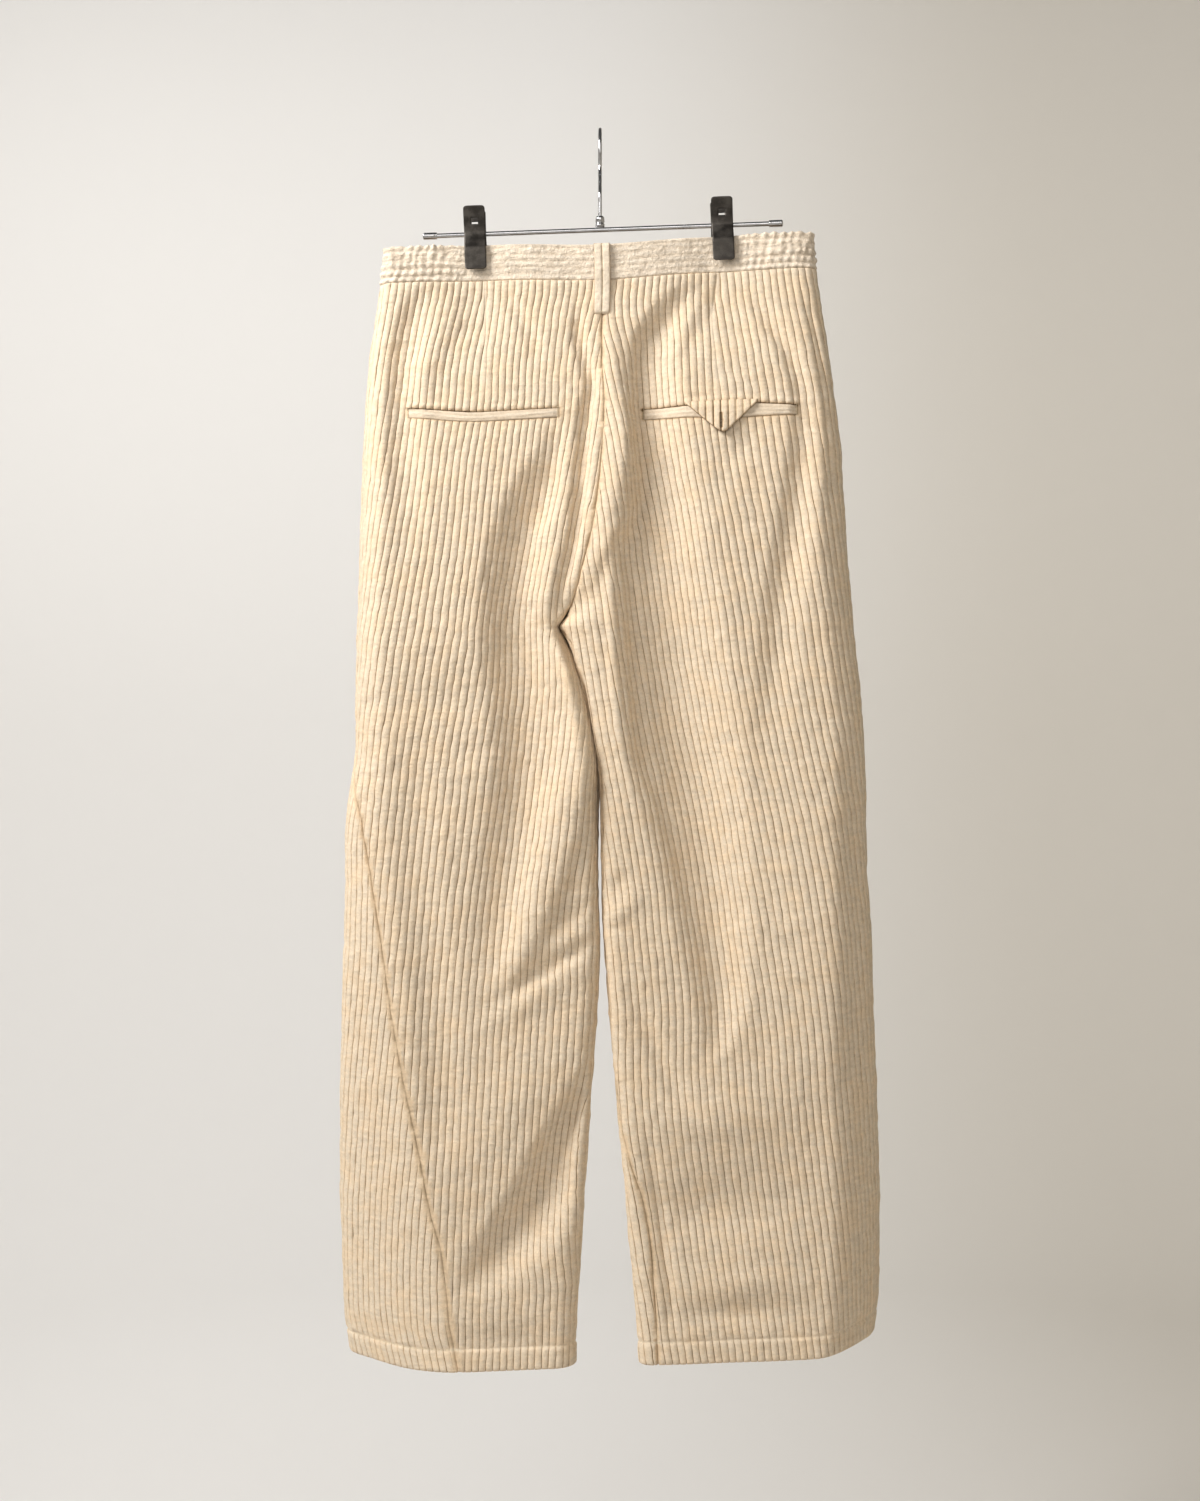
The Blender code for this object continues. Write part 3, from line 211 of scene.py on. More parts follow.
# Each row of a fold: drop, x, width to the left, width to the right, depth (a ridge is negative).
BACK_FOLDS: dict[str, Table] = {
    "left_side": (
        (140, -164, 14, 20, 0), (168, -176, 15, 22, 5), (225, -184, 18, 24, 6.5),
        (280, -184, 21, 24, 6.5), (335, -180, 20, 24, 4.5), (400, -174, 18, 20, 0)),
    "left_hip_ridge": (
        (140, -132, 18, 16, 0), (175, -143, 20, 18, -3), (225, -163, 20, 18, -3.5),
        (270, -174, 16, 16, 0)),
    "left_waist": (
        (146, -88, 12, 10, 0), (160, -82, 12, 11, 3), (190, -64, 12, 12, 3),
        (222, -56, 12, 12, 0)),
    "left_seat": (
        (272, -38, 12, 12, 0), (312, -44, 24, 14, 6), (340, -52, 40, 20, 10),
        (367, -64, 38, 26, 14), (394, -72, 39, 30, 16), (440, -77, 39, 36, 18),
        (477, -75, 40, 40, 17), (551, -68, 41, 46, 14), (588, -67, 40, 44, 13),
        (625, -72, 36, 38, 11), (661, -79, 34, 34, 9), (734, -91, 31, 28, 6),
        (800, -102, 26, 24, 0)),
    "beside_seam": (
        (150, -22, 11, 9, 0), (194, -18, 12, 9, 5), (245, -7, 12, 8, 6.5), (262, -11, 12, 8, 7.5),
        (313, -15, 13, 9, 8), (368, -20, 13, 9, 8), (396, -25, 13, 9, 6.5), (441, -38, 12, 8, 4),
        (470, -42, 10, 8, 0)),
    "seam_ridge": (
        (170, 10, 14, 12, 0), (230, 12, 16, 12, -4), (290, 20, 20, 12, -6),
        (345, 14, 18, 14, -6), (395, 2, 16, 12, -5), (440, -16, 14, 12, 0)),
    "right_seat": (
        (146, 84, 18, 22, 0), (158, 76, 24, 24, 5), (178, 62, 26, 26, 9), (198, 50, 26, 28, 12),
        (225, 45, 25, 32, 14), (260, 44, 24, 36, 14.5), (297, 47, 26, 40, 14),
        (370, 48, 31, 54, 17), (407, 48, 38, 60, 18), (444, 51, 43, 66, 20),
        (518, 60, 49, 68, 23), (592, 74, 52, 64, 23), (667, 90, 49, 54, 20),
        (741, 103, 41, 42, 16), (815, 111, 29, 30, 11), (852, 107, 18, 20, 4.5),
        (872, 100, 14, 14, 0)),
    "right_side": (
        (148, 134, 12, 16, 0), (181, 153, 13, 16, 4), (228, 180, 14, 16, 5),
        (275, 189, 16, 18, 6), (339, 184, 20, 22, 7), (394, 176, 22, 24, 7),
        (449, 167, 22, 26, 6), (522, 160, 22, 26, 4), (600, 154, 20, 24, 0)),
    "left_knee_ridge": (
        (545, -20, 30, 14, 0), (590, -14, 40, 16, -6), (626, -22, 40, 18, -8),
        (663, -29, 40, 18, -8), (699, -42, 38, 18, -8), (736, -56, 32, 18, -7),
        (772, -74, 24, 16, -5), (806, -90, 18, 14, 0)),
    "left_outseam": (
        (540, -170, 24, 22, 0), (602, -168, 26, 24, 2.2), (694, -166, 26, 26, 2.8),
        (769, -156, 28, 28, 3.8), (843, -149, 28, 30, 4), (916, -145, 26, 30, 3.5),
        (965, -147, 24, 26, 0)),
    "left_calf": (
        (858, -4, 12, 8, 0), (885, -10, 20, 12, 9), (912, -22, 25, 18, 14), (948, -41, 29, 32, 17),
        (984, -56, 34, 48, 18), (1016, -75, 37, 54, 16), (1047, -97, 33, 50, 11),
        (1080, -116, 26, 38, 0)),
    "right_thigh_ridge": (
        (560, 200, 60, 34, 0), (640, 206, 66, 30, -6), (740, 208, 68, 30, -8),
        (850, 206, 62, 30, -7), (930, 198, 50, 30, 0)),
    "right_knee": (
        (790, 20, 8, 12, 0), (822, 37, 12, 14, 3), (860, 52, 14, 16, 3.5), (896, 70, 14, 14, 2.5),
        (925, 84, 12, 12, 0)),
    "right_inseam": (
        (930, 44, 6, 9, 0), (960, 47, 8, 9, 2.5), (997, 53, 8, 9, 3), (1044, 59, 8, 9, 3),
        (1090, 64, 8, 9, 3), (1126, 65, 8, 9, 0)),
}
FRONT_FOLDS: dict[str, Table] = {
    "left_crease": (
        (300, -105, 26, 26, 0), (420, -112, 30, 30, -6), (700, -120, 34, 34, -7),
        (1000, -126, 34, 34, -6), (1147, -128, 34, 34, -5)),
    "right_crease": (
        (300, 108, 26, 26, 0), (430, 118, 30, 30, -6), (720, 134, 34, 34, -7),
        (1010, 148, 34, 34, -6), (1147, 150, 34, 34, -5)),
    "left_hip": (
        (160, -150, 20, 26, 0), (250, -168, 20, 26, 6), (420, -170, 20, 26, 4),
        (520, -168, 20, 26, 0)),
    "right_hip": (
        (150, 138, 24, 20, 0), (240, 164, 24, 20, 7), (380, 172, 24, 20, 5),
        (500, 170, 24, 20, 0)),
    "left_fork": (
        (340, -30, 22, 14, 0), (420, -62, 26, 20, 7), (520, -84, 26, 24, 6),
        (620, -96, 24, 24, 0)),
    "right_fork": (
        (330, 32, 14, 22, 0), (410, 46, 20, 28, 8), (520, 62, 24, 28, 7),
        (640, 78, 24, 24, 0)),
}

# Narrower creases laid over the folds, in the same form.
BACK_CREASES: dict[str, Table] = {
    "right_seat_line": (
        (188, 42, 8, 10, 0), (225, 34, 8, 10, 2.5), (300, 37, 8, 10, 3), (350, 38, 8, 10, 3),
        (395, 24, 9, 12, 3.5), (440, 27, 8, 12, 4), (520, 30, 8, 14, 4), (592, 38, 9, 14, 3.5),
        (630, 54, 9, 14, 2.5), (700, 74, 9, 14, 2), (760, 88, 9, 12, 0)),
    "right_seat_crest": (
        (225, 22, 9, 7, 0), (300, 26, 9, 7, -2), (350, 26, 9, 7, -2), (395, 9, 8, 7, -2.5),
        (520, 14, 8, 7, -2.5), (592, 22, 8, 7, -2), (650, 42, 8, 7, 0)),
    "right_rim_line": (
        (150, 186, 5, 6, 0), (190, 197, 5, 6, 2), (262, 208, 5, 7, 2.5), (330, 212, 5, 7, 2),
        (400, 214, 5, 6, 0)),
    "right_waist_line": (
        (146, 110, 14, 12, 0), (165, 103, 16, 13, 2), (200, 89, 16, 13, 2.2),
        (236, 74, 14, 12, 0)),
}

# The rolled edge of the left inseam below the crotch: drop, x, height.
INSEAM_ROLL_HEIGHT = 4.4
INSEAM_ROLL: Table = (
    (456, -40, 0), (468, -38.5, 4.4), (485, -35, 4.4), (525, -27.5, 4), (565, -21.5, 3.4),
    (605, -18, 2.2), (640, -17, 0))

# Soft dents and swells: x, drop, reach along, reach across, angle in degrees, depth. At angle 0
# one runs straight down; a positive angle turns its lower end to the right. A swell is negative.
BACK_DENTS: Table = (
    (-42, 776, 50, 8, -60, 4.5), (-54, 800, 44, 12, -60, -3.0), (-26, 730, 20, 7, -66, 3.0),
    (-24, 752, 18, 8, -66, -2.0), (-78, 900, 80, 34, -40, -3.5),
    (112, 922, 26, 56, 0, -6.0), (108, 1006, 30, 64, 0, 8.5), (128, 1076, 13, 46, 0, -3.5),
    (130, 1102, 11, 46, 0, 4.2), (14, 706, 10, 16, 40, 3.0), (20, 728, 10, 16, 30, -2.5),
    (-150, 482, 26, 46, 0, -1.8), (-150, 530, 18, 46, 0, 2.2), (-112, 600, 16, 40, 0, -1.4),
    (-140, 700, 60, 26, 8, -1.6), (-110, 900, 70, 20, 4, 1.4), (190, 900, 80, 22, 5, 1.6),
    (-110, 330, 50, 26, 12, -1.6), (110, 350, 60, 24, -10, -1.6), (122, 318, 36, 12, -32, 1.8),
    (125, 308, 10, 34, 0, 1.2), (-90, 1120, 12, 50, 0, 1.6), (-100, 1098, 12, 50, 0, -1.2),
)
FRONT_DENTS: Table = (
    (-70, 640, 26, 60, 10, 2.4), (-90, 700, 22, 50, -8, -2.0), (-100, 960, 40, 50, 10, 2.2),
    (80, 640, 26, 60, -12, 2.4), (100, 705, 22, 50, 10, -2.0), (120, 960, 40, 50, -8, 2.2),
    (-150, 1040, 30, 40, 0, -2.0), (160, 1050, 30, 44, 0, -2.0),
)

# How far the wales have moved towards the inner end: drop, then the move at the outer edge, half
# way and at the inner end.
BACK_DRIFT: dict[Side, Table] = {
    Side.LEFT: (
        (137, 0, 0, 0), (190, 2, 4, 1), (245, 4, 7, 0), (310, 3, 3, 0), (380, -5, -1, -5),
        (470, -22, -11, -17), (600, -38, -25, -24), (720, -46, -38, -36), (850, -50, -44, -42),
        (1000, -48, -43, -45), (1147, -42, -38, -42)),
    Side.RIGHT: (
        (137, 0, 0, 0), (190, 1, 7, 13), (245, 0, 12, 16), (310, -1, 13, 12), (380, -3, 9, 6),
        (470, -11, -1, -4), (600, -24, -18, -20), (720, -37, -30, -32), (850, -43, -39, -36),
        (1000, -45, -42, -39), (1147, -41, -45, -46)),
}
FRONT_DRIFT: dict[Side, Table] = {
    Side.LEFT: ((137, 0, 0), (640, -4, -4), (760, -8, -8), (885, -16, -14), (1000, -26, -22),
                (1147, -38, -30)),
    Side.RIGHT: ((137, 0, 0), (1147, 0, 0)),
}

# Wales that the dart takes in: drop, x, number of wales, width.
BACK_TUCKS: dict[Side, Table] = {
    Side.LEFT: ((137, -108, 1.3, 0.8), (253, -105, 0, 0.8), (1147, -105, 0, 0.8)),
    Side.RIGHT: (
        (137, 110, 1.4, 0.8), (180, 105, 0.9, 0.8), (223, 108, 0.4, 0.8), (256, 111, 0, 0.8),
        (1147, 111, 0, 0.8)),
}

# Where the darts are sewn: drop, x.
DARTS: tuple[Table, ...] = (
    ((137, -108), (253, -105)),
    ((137, 110), (180, 105), (223, 108), (256, 111)),
)

# Pocket lines: x, drop of the slit, drop of the welt's lower edge.
LEFT_POCKET: Table = (
    (-178, 256.5, 265.5), (-140, 260.5, 270.5), (-112, 262.5, 272.5), (-84, 262.2, 272.0),
    (-39, 261.5, 271.0))
RIGHT_POCKET: Table = (
    (41, 263.5, 274.0), (74, 263.7, 275.5), (96, 262.5, 276.5), (122, 261.5, 277.5),
    (153, 264.0, 277.0), (182, 266.5, 276.5))

CLIP_X = (-117.3, 114.7)
CLIP_SQUEEZE = 0.6
CLIP_SQUEEZE_REACH = 34.0
CLIP_SQUEEZE_HEIGHT = 95.0

LOOP_X = (-78.0, 1.5, 81.0)


# ---------------- curves through tables
def knot_slopes(knots: Array, values: Array) -> Array:
    """Slopes at a table's rows: the harmonic mean of the chords on each side, 0 at a turn.

    Args:
        knots: the table's first column.
        values: the column that the curve passes through.

    Returns:
        One slope a row, so that the curve has no overshoot.
    """
    chord = np.diff(values) / np.diff(knots)
    before, after = chord[:-1], chord[1:]
    same_way = before * after > 0
    total = np.where(same_way, before + after, 1)
    middle = np.where(same_way, 2 * before * after / total, 0)
    return np.concatenate([[chord[0]], middle, [chord[-1]]])


def through(table: Table, index: int, drop: Array) -> Array:
    """A cubic through one column of a table, its slopes given by knot_slopes.

    Args:
        table: rows whose first entry is the drop, or another place.
        index: the column to read.
        drop: where to read it.

    Returns:
        The column's values there.
    """
    rows = np.asarray(table, dtype=float)
    knots, values = rows[:, 0], rows[:, index]
    slopes = knot_slopes(knots, values)
    drop = np.clip(np.asarray(drop, dtype=float), knots[0], knots[-1])
    cell = np.clip(np.searchsorted(knots, drop) - 1, 0, len(knots) - 2)
    span = knots[cell + 1] - knots[cell]
    t = (drop - knots[cell]) / span
    rise = t * t * (3 - 2 * t)
    return (values[cell] * (1 - rise) + values[cell + 1] * rise + span * slopes[cell] * t * (1 - t) ** 2
            - span * slopes[cell + 1] * t * t * (1 - t))


def smoothstep(low: float, high: float, value: Array) -> Array:
    """0 below low and 1 above high, with 3t^2 - 2t^3 between."""
    t = np.clip((np.asarray(value, dtype=float) - low) / (high - low), 0, 1)
    return t * t * (3 - 2 * t)


def quarter_round(t: Array) -> Array:
    """0 at t = 0, rising to 1 at t = 1 along a quarter of an ellipse."""
    return np.sqrt(1 - (1 - np.clip(t, 0, 1)) ** 2)


def round_turn(t: Array) -> Array:
    """1 at t = 0, falling to 0 at t = 1: one less quarter_round."""
    return 1 - quarter_round(t)


def soft_turn(t: Array) -> Array:
    """1 at t = 0, falling to 0 at t = 1 along half a cosine."""
    return 0.5 + 0.5 * np.cos(np.pi * np.clip(t, 0, 1))


def hump(value: Array, centre: float | Array, width: float | Array) -> Array:
    """A bell: the exponential of minus the squared offset over the width."""
    return np.exp(-((value - centre) / width) ** 2)


def lattice_noise(u: Array, v: Array, seed: int) -> Array:
    """Random heights on the whole numbers of a plane, joined smoothly between them.

    Args:
        u: first coordinate; the pattern changes over about 1.
        v: second coordinate.
        seed: picks the pattern.

    Returns:
        Numbers from -1 to 1.
    """
    size = 128
    heights = np.random.default_rng(seed).uniform(-1, 1, (size, size))
    u, v = np.broadcast_arrays(np.asarray(u, dtype=float), np.asarray(v, dtype=float))
    cell_u, cell_v = np.floor(u).astype(int), np.floor(v).astype(int)
    share_u, share_v = u - cell_u, v - cell_v
    share_u = share_u * share_u * (3 - 2 * share_u)
    share_v = share_v * share_v * (3 - 2 * share_v)
    a, b = cell_u % size, (cell_u + 1) % size
    c, d = cell_v % size, (cell_v + 1) % size
    low = heights[a, c] * (1 - share_u) + heights[b, c] * share_u
    high = heights[a, d] * (1 - share_u) + heights[b, d] * share_u
    return low * (1 - share_v) + high * share_v


def interp_rows(wanted: Array, places: Array, values: Array) -> Array:
    """Linear interpolation in each row of a grid, with all rows laid end to end.

    Args:
        wanted: places to read, row by row.
        places: rising places of the grid's samples.
        values: what the samples hold.

    Returns:
        The values at the wanted places.
    """
    room = 4.0 * (np.abs(places).max() + np.abs(wanted).max() + 1)
    shift = room * np.arange(len(places))[:, None]
    bounded = np.clip(wanted, places[:, :1], places[:, -1:])
    flat = np.interp((bounded + shift).ravel(), (places + shift).ravel(), values.ravel())
    return flat.reshape(wanted.shape)


def read_line(wanted: Array, places: Array, points: Array) -> Array:
    """Points (x, y) of lines at distances along them, row by row, by interp_rows."""
    return np.stack([interp_rows(wanted, places, points[:, :, axis]) for axis in (0, 1)], axis=-1)


def turned_out(along: Array, way: int) -> Array:
    """Directions (x, y) turned a right angle and made one long, or turned back if way is -1."""
    along = along / np.linalg.norm(along, axis=-1, keepdims=True)
    return np.stack([along[..., 1], -along[..., 0]], axis=-1) * way


# ---------------- the shape of the cloth
def edges(side: Side, face: Face, drop: Array) -> tuple[Array, Array, Array, Array]:
    """Where one half of a ring starts and ends, read from the edge tables.

    Args:
        side: the leg.
        face: back or front.
        drop: drops of the rows.

    Returns:
        Outer x, outer y, inner x and inner y.
    """
    left = side is Side.LEFT
    outer_x = through(OUTER_EDGE, 1 if left else 2, drop)
    outer_y = through(OUTER_EDGE, 3, drop)
    spread = smoothstep(CROTCH_DROP - CROTCH_SPREAD_HEIGHT, CROTCH_DROP, drop)
    seam_x = through(CENTRE_SEAM, 1, drop) + side.value * CROTCH_SPREAD * spread
    seam_y = through(CENTRE_SEAM, 2 if face is Face.BACK else 3, drop)
    above = drop < CROTCH_DROP
    inner_x = np.where(above, seam_x, through(INNER_EDGE, 1 if left else 3, drop))
    inner_y = np.where(above, seam_y, through(INNER_EDGE, 2 if left else 4, drop))
    return outer_x, outer_y, inner_x, inner_y


def edge_bulge(side: Side, drop: Array) -> Array:
    """How far the outer edge stands outside a straight line from the waist seam to the hem.

    Args:
        side: the wearer's left or right.
        drop: drops of the rows.

    Returns:
        Millimetres outwards, one a row.
    """
    column = 1 if side is Side.LEFT else 2
    waist, hem = (float(through(OUTER_EDGE, column, place)) for place in (WAIST_SEAM_DROP, HEM_DROP))
    line = waist + (hem - waist) * (drop - WAIST_SEAM_DROP) / (HEM_DROP - WAIST_SEAM_DROP)
    return side.value * (through(OUTER_EDGE, column, drop) - line)


def fold_depth(face: Face, x: Array, drop: Array) -> Array:
    """The folds and dents of a face added up, inwards.

    A fold's section is (1 - offset^2 / width^2)^2 about its line, with a width for each side. A
    dent is a bell along and across its own direction.

    Args:
        face: back or front.
        x: points across the rows.
        drop: drops of the rows.

    Returns:
        Depths at the points.
    """
    depth = np.zeros(np.broadcast_shapes(np.shape(x), np.shape(drop)))
    creases = [*BACK_FOLDS.values(), *BACK_CREASES.values()]
    for rows in creases if face is Face.BACK else FRONT_FOLDS.values():
        offset = x - through(rows, 1, drop)
        width = np.where(offset < 0, through(rows, 2, drop), through(rows, 3, drop))
        inside = np.clip(1 - (offset / width) ** 2, 0, 1)
        depth = depth + through(rows, 4, drop) * inside ** 2
    if face is Face.BACK:
        roll = through(INSEAM_ROLL, 2, drop)
        depth = depth - roll * hump(x, through(INSEAM_ROLL, 1, drop), INSEAM_ROLL_WIDTH)
    for place_x, place_drop, along, across, angle, amount in (
            BACK_DENTS if face is Face.BACK else FRONT_DENTS):
        turn = math.radians(angle)
        run_x, run_drop = math.sin(turn), math.cos(turn)
        far_x, far_drop = x - place_x, drop - place_drop
        lengthwise = far_x * run_x + far_drop * run_drop
        sideways = far_x * run_drop - far_drop * run_x
        depth = depth + amount * np.exp(-(lengthwise / along) ** 2 - (sideways / across) ** 2)
    return depth


def cloth_y(side: Side, face: Face, x: Array, drop: Array) -> Array:
    """Depth of the cloth: its level, a rolled outer edge, a turned inner edge, and its folds.

    Args:
        side: the leg.
        face: back or front.
        x: points across the rows.
        drop: drops of the rows.

    Returns:
        y at the points.
    """
    left = side is Side.LEFT
    outer_x, outer_y, inner_x, inner_y = edges(side, face, drop)
    width = np.abs(inner_x - outer_x)
    from_outer = np.abs(x - outer_x)
    from_inner = width - from_outer
    outer_turn = through(OUTER_EDGE, 4 if left else 5, drop)
    inner_turn = through(CLOTH_LEVEL, 5 if left else 6, drop)
    if face is Face.BACK:
        start = end = through(CLOTH_LEVEL, 1, drop)
    else:
        start = through(CLOTH_LEVEL, 2, drop)
        end = through(CLOTH_LEVEL, 3 if left else 4, drop)
    level = start + (end - start) * from_outer / width
    legs = smoothstep(CROTCH_DROP - LEG_BLEND, CROTCH_DROP, drop)
    turn = from_inner / inner_turn
    inner_shape = (1 - legs) * soft_turn(turn) + legs * round_turn(turn)
    fall = outer_y - start
    roll = np.sign(fall) * np.minimum(EDGE_ROLL, EDGE_ROLL_SHARE * np.abs(fall))
    slope = (1 - np.clip(from_outer / outer_turn, 0, 1)) ** EDGE_SLOPE_POWER
    y = (level + roll * round_turn(from_outer / EDGE_ROLL_REACH) + (fall - roll) * slope
         + (inner_y - end) * inner_shape)
    calm = ((1 - legs + legs * smoothstep(0, CALM_INNER, from_inner))
            * smoothstep(0, CALM_OUTER, from_outer))
    y = y - face.value * fold_depth(face, x, drop) * calm
    squeeze = sum(hump(x, clip, CLIP_SQUEEZE_REACH) for clip in CLIP_X)
    near_waist = 1 - smoothstep(WAIST_SEAM_DROP, WAIST_SEAM_DROP + CLIP_SQUEEZE_HEIGHT, drop)
    return y * (1 - CLIP_SQUEEZE * squeeze * near_waist)


def hang(x: Array, y: Array, drop: Array) -> Array:
    """Points of the hanging garment: the waist dips, the hems curl up and all of it leans.

    Args:
        x: x of the points.
        y: their y.
        drop: their drops.

    Returns:
        Points in metres, with a last axis of three.
    """
    x, y, drop = np.broadcast_arrays(x, y, drop)
    near_waist = 1 - smoothstep(WAIST_SEAM_DROP, WAIST_SEAM_DROP + WAIST_DIP_DEPTH, drop)
    dip = WAIST_DIP * hump(x, 0, WAIST_DIP_REACH) * near_waist
    near_hem = smoothstep(HEM_DROP - HEM_CURL_HEIGHT, HEM_DROP, drop)
    _, left_end, right_end = OUTER_EDGE[-1][:3]
    share_out = np.where(x < 0, x / left_end, x / right_end)
    curl = HEM_CURL * smoothstep(HEM_CURL_FROM, 1.0, share_out) * near_hem
    z = -drop - dip + curl + np.tan(HANG_LEAN) * x
    return np.stack([x, y, z], axis=-1) * MM


def lumps(x: Array, drop: Array, face: Face) -> Array:
    """Ripples of the thick cloth: short waves over longer, softer swells.

    Args:
        x: x of the points.
        drop: their drops.
        face: back or front.

    Returns:
        Millimetres outwards.
    """
    seed = 11 if face is Face.BACK else 12
    return (0.32 * lattice_noise(x / 30 + 40, drop / 8, seed)
            + 0.35 * lattice_noise(x / 26 + 40, drop / 22, seed + 10)
            + 0.9 * lattice_noise(x / 60 + 40, drop / 70, seed + 20))


def on_face(face: Face, x: Array, drop: Array, out: Array) -> Array:
    """Points over the grooves of a face, moved out along Y.

    Args:
        face: back or front.
        x: x of the points.
        drop: their drops.
        out: how far they stand off the grooves.

    Returns:
        Points in metres.
    """
    centre = through(CENTRE_SEAM, 1, drop)
    y = np.where(x < centre, cloth_y(Side.LEFT, face, x, drop), cloth_y(Side.RIGHT, face, x, drop))
    calm = smoothstep(WAIST_SEAM_DROP - 6, WAIST_SEAM_DROP + 20, drop)
    return hang(x, y + face.value * (out + calm * lumps(x, drop, face)), drop)


@dataclass
class Girth:
    """The cloth of one leg, or one half of the seat, at many drops, measured round its surface.

    A distance is 0 at the outer edge, grows along the back to the inner end and falls below 0
    along the front. Below the crotch a row closes and distances wrap.
    """

    side: Side
    drop: Array
    samples: int = 400
    points: Array = field(init=False)
    distance: Array = field(init=False)

    def __post_init__(self) -> None:
        """Walk each row from the front's inner end round the outer edge to the back's."""
        share = (1 - np.cos(np.pi * np.linspace(0, 1, self.samples))) / 2
        drop = self.drop[:, None]
        lines = []
        for face in (Face.FRONT, Face.BACK):
            outer_x, _, inner_x, _ = edges(self.side, face, drop)
            x = outer_x + (inner_x - outer_x) * share
            lines.append(np.stack([x, cloth_y(self.side, face, x, drop)], axis=-1))
        self.points = np.concatenate([lines[0][:, ::-1], lines[1][:, 1:]], axis=1)
        steps = np.linalg.norm(np.diff(self.points, axis=1), axis=2)
        walked = np.concatenate([np.zeros((len(steps), 1)), np.cumsum(steps, axis=1)], axis=1)
        self.distance = walked - walked[:, self.samples - 1:self.samples]

    @property
    def front_end(self) -> Array:
        """The distance of the front's inner end, one for each row."""
        return self.distance[:, :1]

    @property
    def back_end(self) -> Array:
        """The distance of the back's inner end, one for each row."""
        return self.distance[:, -1:]

    def at(self, distance: Array) -> Array:
        """Points (x, y) at distances round the rows, wrapped below the crotch.

        Args:
            distance: one row of distances for each row.

        Returns:
            Points with a last axis of two.
        """
        length = self.back_end - self.front_end
        wrapped = self.front_end + (distance - self.front_end) % length
        inside = np.where(self.drop[:, None] >= CROTCH_DROP, wrapped,
                          np.clip(distance, self.front_end, self.back_end))
        return read_line(inside, self.distance, self.points)

    def outward(self, distance: Array) -> Array:
        """Unit vectors (x, y) out of the cloth at distances: the run between two points, turned."""
        along = self.at(distance + TANGENT_STEP) - self.at(distance - TANGENT_STEP)
        return turned_out(along, -self.side.value)

    def span(self, face: Face) -> tuple[Array, Array]:
        """Where a panel starts and ends round the rows, less its half of each seam gap.

        Args:
            face: back or front.

        Returns:
            Start and end distances, row by row.
        """
        left = self.side is Side.LEFT
        drop = self.drop[:, None]
        outseam = through(SEAM_SHIFT, 1 if left else 3, drop)
        inseam = through(SEAM_SHIFT, 2 if left else 4, drop)
        half = SEAM_GAP / 2
        if face is Face.BACK:
            return outseam + half, self.back_end - inseam - half
        return self.front_end - inseam + half, outseam - half

    def place_of(self, x: Array) -> Array:
        """Distances along the back at which the rows reach an x.

        Args:
            x: the x to reach, one a row.

        Returns:
            Distances in mm, one a row.
        """
        back = slice(self.samples - 1, None)
        sign = -self.side.value
        return interp_rows(sign * x, sign * self.points[:, back, 0], self.distance[:, back])


# ---------------- meshes
@dataclass
class Faces:
    """Faces of a mesh as arrays of corners, triangles and quads apart."""

    triangles: list[Array] = field(default_factory=list)
    quads: list[Array] = field(default_factory=list)

    def add(self, corners: Array) -> None:
        """Take faces of three or four corners, leaving out corners that repeat a neighbour.

        Args:
            corners: one face a row.
        """
        if corners.shape[1] == 3:
            a, b, c = corners.T
            self.triangles.append(corners[(a != b) & (b != c) & (c != a)])
            return
        same = corners == np.roll(corners, -1, axis=1)
        count = same.sum(axis=1)
        self.quads.append(corners[count == 0])
        once = corners[count == 1]
        which = np.argmax(same[count == 1], axis=1)
        keep = (which[:, None] + np.arange(1, 4)) % 4
        self.add(np.take_along_axis(once, keep, axis=1))

    def arrays(self) -> tuple[Array, Array]:
        """All faces joined up.

        Returns:
            The triangles and the quads, each as one array.
        """
        triangles = np.concatenate(self.triangles or [np.zeros((0, 3), int)])
        quads = np.concatenate(self.quads or [np.zeros((0, 4), int)])
        return triangles, quads


def signed_volume(points: Array, triangles: Array, quads: Array) -> float:
    """Six times the volume inside closed faces: the sum of the triangles' triple products.

    Args:
        points: the points, one a row.
        triangles: point numbers of the triangles.
        quads: point numbers of the quads.

    Returns:
        The volume, above 0 where the faces point outwards.
    """
    split = np.concatenate([triangles, quads[:, [0, 1, 2]], quads[:, [0, 2, 3]]])
    a, b, c = (points[split[:, corner]] for corner in range(3))
    return float(np.einsum("ij,ij->", a, np.cross(b, c)))


